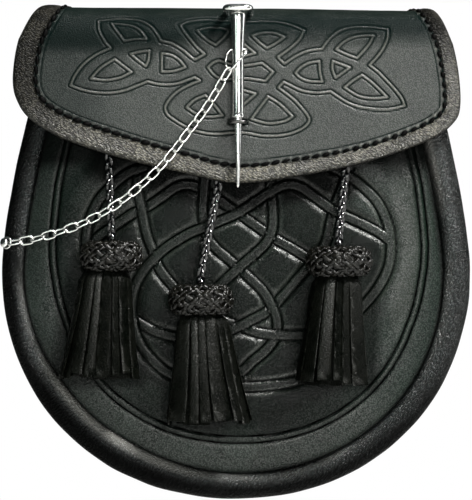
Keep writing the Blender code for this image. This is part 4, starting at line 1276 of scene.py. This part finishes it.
def front_leather():
    """The domed front, with raised knot-work and a double frame line round it."""
    bm = front_sheet()
    legs = strand_legs()
    over, under = Bands(legs, True), Bands(legs, False)
    outline = body_outline(MOUTH_Z, 900)
    from_frame = distance_from(resample(inset(outline, frame_reach), 3000))
    from_welt = distance_from(resample(inset(outline, lambda point: 2 * welt_reach(point)), 2400))

    def from_band(place):
        return min(over.near(place), under.near(place))

    def away_from_bands(flat):
        above, below = over.away(flat), under.away(flat)
        if above < CUT_OUT:
            return above
        if below < CUT_OUT:
            return below
        return max(CUT_OUT, -0.8 * log(exp(-above / 0.8) + exp(-below / 0.8)))

    refine(bm, lambda place: from_band(place) < 6.0 or from_frame(place) < 4.0)
    refine(bm, lambda place: 1.0 < from_band(place) < 4.9 or from_frame(place) < 2.2)
    pressed, raised = wear_layers(bm)
    for vert in bm.verts:
        flat = vert.co.copy()
        x, z, _ = flat
        rise, dark, light = band_shape(away_from_bands(flat))
        groove = min(1.0, 1.3 * hump(from_frame(flat), FRAME_APART, 0.5))
        ridge = hump(from_frame(flat), 0.0, 0.6)
        seam = from_welt(flat)
        inside = 2 * welt_reach(flat) + seam - frame_reach(flat)    # how far within the frame line
        inward = fade(inside, -1.5, 3.0)
        # Darker over the knot's ground. Painted shade: low down, at the left and along the upper
        # left rim, high up and below the flap's edge, round the tassels, and where the leather
        # turns in under the welt.
        ground = 0.66 * (1 - fade((flat.xy - KNOT_CENTRE).length, KNOT_RADIUS, 9.0))
        low = 0.58 * fade(z, -118.0, -20.0) * inward
        left = (0.35 + 0.25 * hump(z, -60.0, 14.0)) * fade(x, -10.0, -50.0) * inward
        left_rim_shade = 0.3 * fade(x, -72.0, -6.0) * fade(z, -95.0, 20.0)
        shaded = 0.88 * fade(z, -42.0, 9.0)
        below = 0.93 * (1 - fade(from_flap_edge(flat), 6.5, 15.0))
        below *= fade(x, -74.0, 16.0) * (1 - fade(x, 46.0, 14.0))
        tassel_shadow = max(0.7 * (1 - fade(tassel_reach(each, x, z), 1.0, 5.5)) for each in TASSELS)
        seam_shade = 0.97 * (1 - fade(seam, 0.6, 0.9))
        ground *= 1 - 0.6 * light
        vert[pressed] = min(1.0, max(dark, groove, ground, low, left, left_rim_shade, shaded, below,
                                     tassel_shadow, seam_shade))
        # Painted sheen and highlight, lighter and glossier: on the band outside the frame line at
        # the left and low down, inside the line at the right, on its outer rim low down and on its
        # middle ridge.
        border_sheen = 0.17 * (1 - inward) * max(fade(x, -20.0, -30.0), fade(z, -128.0, -12.0))
        right = 0.4 * inward * fade(x, 62.0, 5.0) * fade(z, -112.0, 16.0)
        lip_highlight = 0.8 * hump(inside, -FRAME_APART - 0.9, 0.45) * fade(z, -128.0, -12.0)
        polished = max(light, 0.35 * ridge, border_sheen, right, lip_highlight)
        vert[raised] = polished * (1 - max(groove, seam_shade, shaded))
        rise += 0.22 * ridge - 0.4 * groove
        rise += 0.5 * noise.noise(flat * 0.02) + 0.08 * noise.noise(flat * 0.12)
        turned_in = TURN_IN * max(0.0, 1 - seam / TURN_REACH) ** 2
        vert.co = Vector((x, front_depth(x, z) - rise + turned_in, z))
    turn_faces(bm, -1)
    finish_piece("front_leather", bm, PANEL_LEATHER, ["front_panel"], 180.0,
                 close=False)


def panel_plate(name, outline, depth, wall, material, replaced):
    """A flat or domed plate with rounded rims: rings from the outline to its middle, two sides."""
    top = [outline[-1].lerp(outline[0], share) for share in steps(0.0, 1.0, 41)[1:-1]]
    loop = outline + top
    count = len(loop)

    def place(u, v):
        out = abs(2 * v - 1)        # 1 at the middle, 0 at the rim
        flat = PANEL_MIDDLE.lerp(loop[round(u * count) % count], 1.0 - out ** 1.3)
        rim = fade(out, 0.0, 0.06)
        shift = wall * (0.5 - 0.5 * rim) if v < 0.5 else wall * (0.5 + 0.5 * rim)
        return Vector((flat.x, depth(flat.x, flat.y) + shift, flat.y))

    bm = shaped_grid(count, 40, place, merge=0.002)
    finish_piece(name, bm, material, replaced, 60.0)


FRONT_SKIN = 1.6        # the front's outer leather; the rest of its wall is lining


def front_lining():
    outline = inset(body_outline(MOUTH_Z, 240), lambda point: 2 * welt_reach(point) + SEAT_GAP)
    panel_plate("front_lining", outline, lambda x, z: front_depth(x, z) + FRONT_SKIN,
                PANEL_WALL - FRONT_SKIN, LINING_LEATHER, ["front_panel"])


def back_panel():
    outline = inset(body_outline(BACK_TOP_Z, 240), lambda point: BACK_INSET)
    panel_plate("back_leather", outline, lambda x, z: -PANEL_WALL, PANEL_WALL, PLAIN_LEATHER,
                ["back_panel"])
    seam = inset(body_outline(BACK_TOP_Z - 9.0, 240), lambda point: BACK_INSET + BACK_SEAM_IN)
    seam = spaced(seam, BACK_STITCH_PITCH)
    out = Vector((0.0, 1.0, 0.0))
    sew("back_stitches", [
        (Vector((point.x, 0.0, point.y)), Vector((run.x, 0.0, run.y)), out)
        for point, run in zip(seam, tangents(seam))], 0.6)


def outline_rings(count):
    """Places of the pouch's outline, each with its inward direction."""
    edge = body_outline(MOUTH_Z, count)
    return [(point, Vector((-run.y, run.x))) for point, run in zip(edge, tangents(edge))]


def front_welt():
    """Pebbled leather rolled over the pouch's edge, with painted shade and highlight by the rows of
    WELT_TONES.
    """
    def place(u, ring):
        point, inside = ring
        turn = 2 * pi * u
        swell = 1.0 + 0.05 * noise.noise(Vector((point.x * 0.07, point.y * 0.07, cos(turn))))
        crest = CREST_SHIFT * max(0.0, sin(turn)) ** 2 * fade(point.y, -112.0, -20.0)
        flat = point + inside * welt_reach(point) * (1 + cos(turn) * swell + crest)
        return Vector((flat.x, WELT_Y - (WELT_HALF_DEPTH + 0.1) * sin(turn) * swell, flat.y))

    bm = ring_grid(28, outline_rings(520), place, merge=0.0005)
    from_edge = distance_from(body_outline(MOUTH_Z, 1600))
    pressed, raised = wear_layers(bm)
    for vert in bm.verts:
        flat = Vector((vert.co.x, vert.co.z))
        share = from_edge(flat) / (2 * welt_reach(flat))
        bearing = degrees(atan2(WIDEST_Z + 4.0 - flat.y, flat.x))
        bearing += 360.0 if bearing < -90.0 else 0.0
        start, clear, outer, inner, shoulder = (
            between(WELT_TONES, bearing, column) for column in range(1, 6))
        # Painted shade on the outer side and by the seam; painted highlight on the inner shoulder.
        vert[pressed] = max(outer * (1 - fade(share, start, clear - start)),
                            0.9 * fade(share, inner, 1.0 - inner))
        vert[raised] = shoulder * fade(share, 0.6, 0.2)
    finish_piece("welt_roll", bm, PEBBLED_LEATHER, ["front_welt"], 70.0)


def gusset():
    front = WELT_Y + WELT_HALF_DEPTH + SEAT_GAP
    back = -PANEL_WALL - SEAT_GAP

    def place(u, ring):
        point, inside = ring
        share, wall = (u * 2, 0.0) if u < 0.5 else (2 - u * 2, GUSSET_WALL)
        depth = front + (back - front) * share
        crease = 0.5 * noise.noise(Vector((point.x * 0.05, depth * 0.12, point.y * 0.05)))
        reach = GUSSET_INSET + (GUSSET_TUCK + crease) * sin(pi * share)
        flat = point + inside * (reach + wall)
        return Vector((flat.x, depth, flat.y))

    bm = ring_grid(37, outline_rings(320), place)
    finish_piece("gusset_leather", bm, PLAIN_LEATHER, ["gusset"], 50.0)


def belt_loops():
    """A strap bent to a low arch, its two feet stitched to the back panel."""
    inner = LOOP_HALF_HEIGHT - LOOP_FOOT
    foot_y = SEAT_GAP + LOOP_WALL / 2
    crest_y = LOOP_ROOM + LOOP_WALL / 2
    half = ((foot_y, LOOP_HALF_HEIGHT), (foot_y, inner + 1.6), (foot_y + 0.9, inner),
            (crest_y - 0.6, inner - 1.8), (crest_y, inner - 3.6), (crest_y, 0))
    knots = [Vector((0, *spot)) for spot in half]
    knots += [Vector((0, knot.y, -knot.z)) for knot in reversed(knots[:-1])]
    line = resample(smooth_curve(knots, 10), 90)

    def section(turn, share):
        return LOOP_WIDTH / 2 * bent(cos(turn), 0.35), LOOP_WALL / 2 * bent(sin(turn), 0.35)

    for name, across in (("left", -LOOP_ACROSS), ("right", LOOP_ACROSS)):
        strap = sweep(bmesh.new(), [point + Vector((across, 0, 0)) for point in line], section, 32,
                      up=Vector((0, 1, 0)))
        finish_piece(f"strap_{name}", strap, PLAIN_LEATHER, [f"belt_loop_{name}"],
                     50.0)
        sew(f"strap_stitches_{name}", [
            (Vector((side, SEAT_GAP + LOOP_WALL, height)), Vector((1, 0, 0)), Vector((0, 1, 0)))
            for height in (LOOP_HALF_HEIGHT - 2.4, 2.4 - LOOP_HALF_HEIGHT)
            for side in steps(across - 7.4, across + 7.4, 5)], 0.55)


front_leather()
front_lining()
back_panel()
front_welt()
gusset()
belt_loops()


# ---------------------------------------------------------------- the closure

def turned(name, sections, foot, axis, replaced, count):
    """A turned nickel piece: a profile of (distance along the axis, radius) spun round it."""
    bm = bmesh.new()
    side = axis.orthogonal().normalized()
    verts = [bm.verts.new(foot + axis * place + side * max(radius, 0.0001))
             for place, radius in sections]
    edges = [bm.edges.new(pair) for pair in zip(verts, verts[1:])]
    bmesh.ops.spin(bm, geom=verts + edges, cent=foot, axis=axis, angle=2 * pi, steps=count,
                   use_merge=True)
    bmesh.ops.remove_doubles(bm, verts=bm.verts, dist=0.001)
    finish_piece(name, bm, BRIGHT_NICKEL, replaced, 35.0)


def wire_ring(name, line, sides, up, replaced):
    """A closed ring of nickel wire."""
    bm = sweep(bmesh.new(), line, round_section(WIRE / 2), sides, up=up, closed=True)
    finish_piece(name, bm, BRIGHT_NICKEL, replaced, 180.0)


def staple_route(half_span, bar, foot, corner):
    """A staple's centre line: in from one foot, round two corners and back."""
    run = (bar - foot).normalized()
    turn_start = bar - run * corner
    half = [Vector((-half_span, *foot.lerp(turn_start, share))) for share in steps(0.0, 1.0, 8)]
    for turn in steps(0.0, pi / 2, 9)[1:]:
        side = turn_start + run * corner * sin(turn)
        half.append(Vector((corner * (1 - cos(turn)) - half_span, *side)))
    other = [Vector((-point.x, point.y, point.z)) for point in reversed(half)]
    middle = [half[-1].lerp(other[0], share) for share in steps(0.0, 1.0, 8)[1:-1]]
    return [point + Vector((PIN_ACROSS, 0, 0)) for point in half + middle + other]


turned("pin_turned", PIN_SECTIONS, Vector((PIN_ACROSS, PIN_Y, 0.0)), Vector((0, 0, 1)),
       ["closure_pin"], 48)

keeper_bar = Vector((PIN_Y - PIN_NECK - SEAT_GAP - KEEPER_RADIUS, KEEPER_Z))
keeper_foot = keeper_bar + Vector((KEEPER_LENGTH, -KEEPER_DROP))
keeper = sweep(bmesh.new(), staple_route(KEEPER_HALF_SPAN, keeper_bar, keeper_foot, 2.4),
               round_section(KEEPER_RADIUS), 20, up=Vector((0, 0, 1)))
finish_piece("keeper_bent", keeper, BRIGHT_NICKEL, ["pin_keeper"])

staple_bar = Vector((PIN_Y - SPIKE_RADIUS - SEAT_GAP - STAPLE_RADIUS, STAPLE_Z))
staple_foot = Vector((front_depth(PIN_ACROSS, STAPLE_Z) - SEAT_GAP, STAPLE_Z))
staple = sweep(bmesh.new(), staple_route(STAPLE_HALF_SPAN, staple_bar, staple_foot, 1.4),
               round_section(STAPLE_RADIUS), 16, up=Vector((0, 0, 1)))
finish_piece("staple_bent", staple, DARK_NICKEL, ["closure_staple"])


# ---------------------------------------------------------------- the chain

def pin_ring_line(per_span):
    middle = Vector((PIN_ACROSS, PIN_Y, CROSS_HOLE_Z))
    return smooth_curve([middle + Vector(point) for point in PIN_RING_ROUTE], per_span, closed=True)


def anchor_frame():
    """The rivet's seat on the welt, the welt's outward direction there and the way along it."""
    reach = welt_reach(Vector((-HALF_WIDTH, 0)))
    across = -half_width(ANCHOR_Z) + reach - ANCHOR_OFFSET
    rise = WELT_HALF_DEPTH * sqrt(1 - (ANCHOR_OFFSET / reach) ** 2)
    out = Vector((-ANCHOR_OFFSET / reach ** 2, -rise / WELT_HALF_DEPTH ** 2, 0)).normalized()
    return Vector((across, WELT_Y - rise, ANCHOR_Z)), out, Vector((-out.y, out.x, 0))


def chain_ring_centre():
    seat, out, inward = anchor_frame()
    beyond = RING_RADIUS - WIRE / 2 - ANCHOR_POST_RADIUS - 0.1
    return seat + out * (SEAT_GAP + WIRE * 0.75) + inward * beyond


def chain_path():
    """The line that the links follow, from the pin's ring to the round end ring."""
    lowest = min(pin_ring_line(4), key=lambda point: point.z)
    _, _, inward = anchor_frame()
    end = chain_ring_centre() + inward * RING_RADIUS
    return smooth_curve([lowest] + [Vector(point) for point in CHAIN_ROUTE] + [end], 24)


def link_line():
    bend = (LINK_WIDTH - WIRE) / 2
    straight = (LINK_LENGTH - WIRE) / 2 - bend
    return [Vector((side * (straight + bend * cos(turn)), side * bend * sin(turn), 0))
            for side in (1, -1) for turn in steps(-pi / 2, pi / 2, 13)]


def chain():
    """Oval links in round wire, every other one turned, all on the chain's path."""
    path = chain_path()
    length = run_length(path)
    overlap = (LINK_LENGTH - WIRE) / 2 - WIRE - SEAT_GAP / 2
    pitch = (length - 2 * overlap) / (LINK_COUNT - 1)
    even = resample(path, 400)
    last = len(even) - 1
    step = length / last
    bm = bmesh.new()
    shape = link_line()
    for number in range(LINK_COUNT):
        place = overlap + pitch * number
        index = min(last - 1, int(place / step))
        centre = even[index].lerp(even[index + 1], place / step - index)
        run = (even[min(last, index + 6)] - even[max(0, index - 6)]).normalized()
        facing = Vector((0, -1, 0))
        facing = (facing - run * facing.dot(run)).normalized()
        roll = LINK_ROLL - (0 if number % 2 else 90) + CHAIN_TWIST * number / (LINK_COUNT - 1)
        facing = Matrix.Rotation(radians(roll), 3, run) @ facing
        turn = Matrix((run, facing.cross(run), facing)).transposed()
        sweep(bm, [centre + turn @ point for point in shape], round_section(WIRE / 2 + 0.08), 10,
              up=facing, closed=True)
    links = [f"chain_link_{number + 1:02d}" for number in range(LINK_COUNT)]
    finish_piece("cable_chain", bm, BRIGHT_NICKEL, links, 180.0)


def chain_ends():
    """The pin's ring, the chain's end ring and the rivet that holds it."""
    wire_ring("pin_wire_ring", pin_ring_line(12), 12, Vector((0.3, 1.0, 0.5)), ["pin_ring"])
    seat, out, inward = anchor_frame()
    middle = chain_ring_centre()
    turns = [2 * pi * index / 40 for index in range(40)]
    line = [middle + (inward * cos(turn) + Vector((0, 0, 1)) * sin(turn)) * RING_RADIUS
            for turn in turns]
    wire_ring("end_ring", line, 12, out, ["chain_ring"])
    head = SEAT_GAP + WIRE * 1.25 + SEAT_GAP
    dome = ((0.0, 0.96), (0.12, 1.0), (0.35, 0.98), (0.7, 0.82), (0.92, 0.5), (1.0, 0.0))
    profile = [(-0.3, 0.0), (-0.3, ANCHOR_POST_RADIUS), (head, ANCHOR_POST_RADIUS)]
    profile += [(head + rise, ANCHOR_HEAD_RADIUS * share) for rise, share in dome]
    turned("rivet", profile, seat, out, ["chain_anchor"], 24)


chain()
chain_ends()


# ---------------------------------------------------------------- the tassels

KNOT_STRANDS = 17       # strands each way round a woven knot
KNOT_STRAND_HALF = 0.98
KNOT_SLOPE = 0.62
STRIP_COUNT = 14
INNER_STRIPS = 10
STRIP_STEPS = 22        # places along a strip of the fringe
FOREMOST_TURN = 1.42 * pi       # the strip that faces the viewer, which gets a painted sheen


def barrel(tassel, turn, rise, out=0.0):
    """A place on the woven knot: turn round it, rise from -90 to 90 degrees over its side."""
    radius = (tassel.head_half_width - 1.3) * (0.66 + 0.34 * cos(rise))
    return Vector((
        tassel.head_across + (radius + out * cos(rise)) * cos(turn),
        head_depth(tassel) + (radius * HEAD_DEPTH_RATIO + out * cos(rise)) * sin(turn),
        tassel.head_height + (HEAD_HALF_HEIGHT - 1.0 + out) * sin(rise),
    ))


def tassel_knot(tassel):
    """Flat strands wound both ways round a core, over and under each other in turn."""
    bm = shaped_grid(32, 16, lambda u, v: barrel(tassel, 2 * pi * u, pi * (v - 0.5) * 1.12, -0.7),
                     merge=0.001)
    bmesh.ops.holes_fill(bm, edges=[edge for edge in bm.edges if edge.is_boundary], sides=0)
    for family in (1, -1):
        for strand in range(KNOT_STRANDS):
            points, outs = [], []
            start = 2 * pi * strand / KNOT_STRANDS + 0.12 * sin(strand * 2.7 + family)
            for rise in steps(-1.75, 1.75, 34):
                crossing = KNOT_SLOPE * rise * KNOT_STRANDS / pi
                weave = 0.45 * family * cos(pi * crossing)
                turn = start + family * KNOT_SLOPE * rise
                points.append(barrel(tassel, turn, rise, 0.25 + weave))
                out = barrel(tassel, turn, rise, 1.0) - barrel(tassel, turn, rise)
                outs.append(out.normalized())
            sweep(bm, points, lambda turn, share: (KNOT_STRAND_HALF * cos(turn), 0.5 * sin(turn)),
                  6, over=outs)
    finish_piece(f"woven_knot_{tassel.name}", bm, KNOT_LEATHER, [f"tassel_head_{tassel.name}"],
                 180.0)


def tassel_fringe(tassel):
    """Long strips cut from one piece and rolled up, the outer ones flaring a little."""
    rng = random.Random(f"fringe {tassel.name}")
    top_z = tassel.head_height - HEAD_HALF_HEIGHT + 1.6
    y_top = head_depth(tassel)
    bm = bmesh.new()
    tone = bm.verts.layers.float.new("tone")

    def collar(u, v):
        return barrel(tassel, 2 * pi * u, -1.05 - 0.55 * v, 1.1 * sin(pi * v) ** 0.4 - 0.5)

    shaped_grid(48, 8, collar, bm, merge=0.001)
    shares = steps(0.0, 1.0, STRIP_STEPS)
    for layer, count, inward in ((0, STRIP_COUNT, 0.0), (1, INNER_STRIPS, 2.6)):
        widths = [rng.uniform(0.5, 1.6) for _ in range(count)]
        reached = rng.uniform(0.0, 0.4)
        for width in widths:
            span = 2 * pi * width / sum(widths)
            turn = reached + span / 2
            reached += span
            foot_z = tassel.skirt_foot_height + rng.uniform(0.0, 3.4)
            sway, bow = rng.uniform(-1.0, 1.0), rng.uniform(-0.9, 0.9)
            lean, proud = radians(rng.uniform(-16.0, 16.0)), rng.uniform(-0.7, 0.5)
            points, outs = [], []
            for share in shares:
                gone = tassel.skirt_foot_across - tassel.skirt_top_across
                half = tassel.skirt_top_half * (0.66 + 0.28 * fade(share, 0.0, 0.12))
                half += (tassel.skirt_foot_half - tassel.skirt_top_half * 0.94) * share ** 1.3
                half -= 0.9 + inward - proud * min(1.0, share * 5)
                angle = turn + 0.035 * (sway * share + bow * sin(pi * share))
                points.append(Vector((
                    tassel.skirt_top_across + gone * share + half * cos(angle),
                    y_top + half * SKIRT_DEPTH_RATIO * sin(angle),
                    top_z + (foot_z - top_z) * share,
                )))
                outs.append(Vector((cos(angle) * SKIRT_DEPTH_RATIO, sin(angle), 0)).normalized())
            outs = [Matrix.Rotation(lean * share, 3, run) @ (out - run * out.dot(run)).normalized()
                    for share, out, run in zip(shares, outs, tangents(points))]
            reach = [span * 0.9 * 0.42 * (tassel.skirt_top_half * (1 - share)
                                          + tassel.skirt_foot_half * share) for share in shares]

            def section(angle, share):
                wide = reach[round(share * (STRIP_STEPS - 1))]
                return wide * bent(cos(angle), 0.6), 0.6 * sin(angle)

            before = len(bm.verts)
            sweep(bm, points, section, 10, over=outs)
            bm.verts.ensure_lookup_table()
            # The strip facing the viewer gets a painted sheen and the rest a random tone; each is
            # painted lighter towards its top, where light falls, and its edges lighter and glossier
            # still, partly the cut edge and partly a painted highlight.
            aside = abs((turn - FOREMOST_TURN + pi) % (2 * pi) - pi)
            shade = 1.5 if layer == 0 and aside < span / 2 else 0.8 * rng.random() ** 2
            for number, vert in enumerate(bm.verts[before:]):
                cut_edge_highlight = layer == 0 and number % 10 in (0, 5)
                lit = min(1.0, max(0.25, 1.2 - (top_z - vert.co.z) / 34.0))
                vert[tone] = 1.0 if cut_edge_highlight else shade * lit
    finish_piece(f"fringe_{tassel.name}", bm, FRINGE_LEATHER, [f"tassel_skirt_{tassel.name}"],
                 50.0)


for each in TASSELS:
    tassel_knot(each)
    tassel_fringe(each)
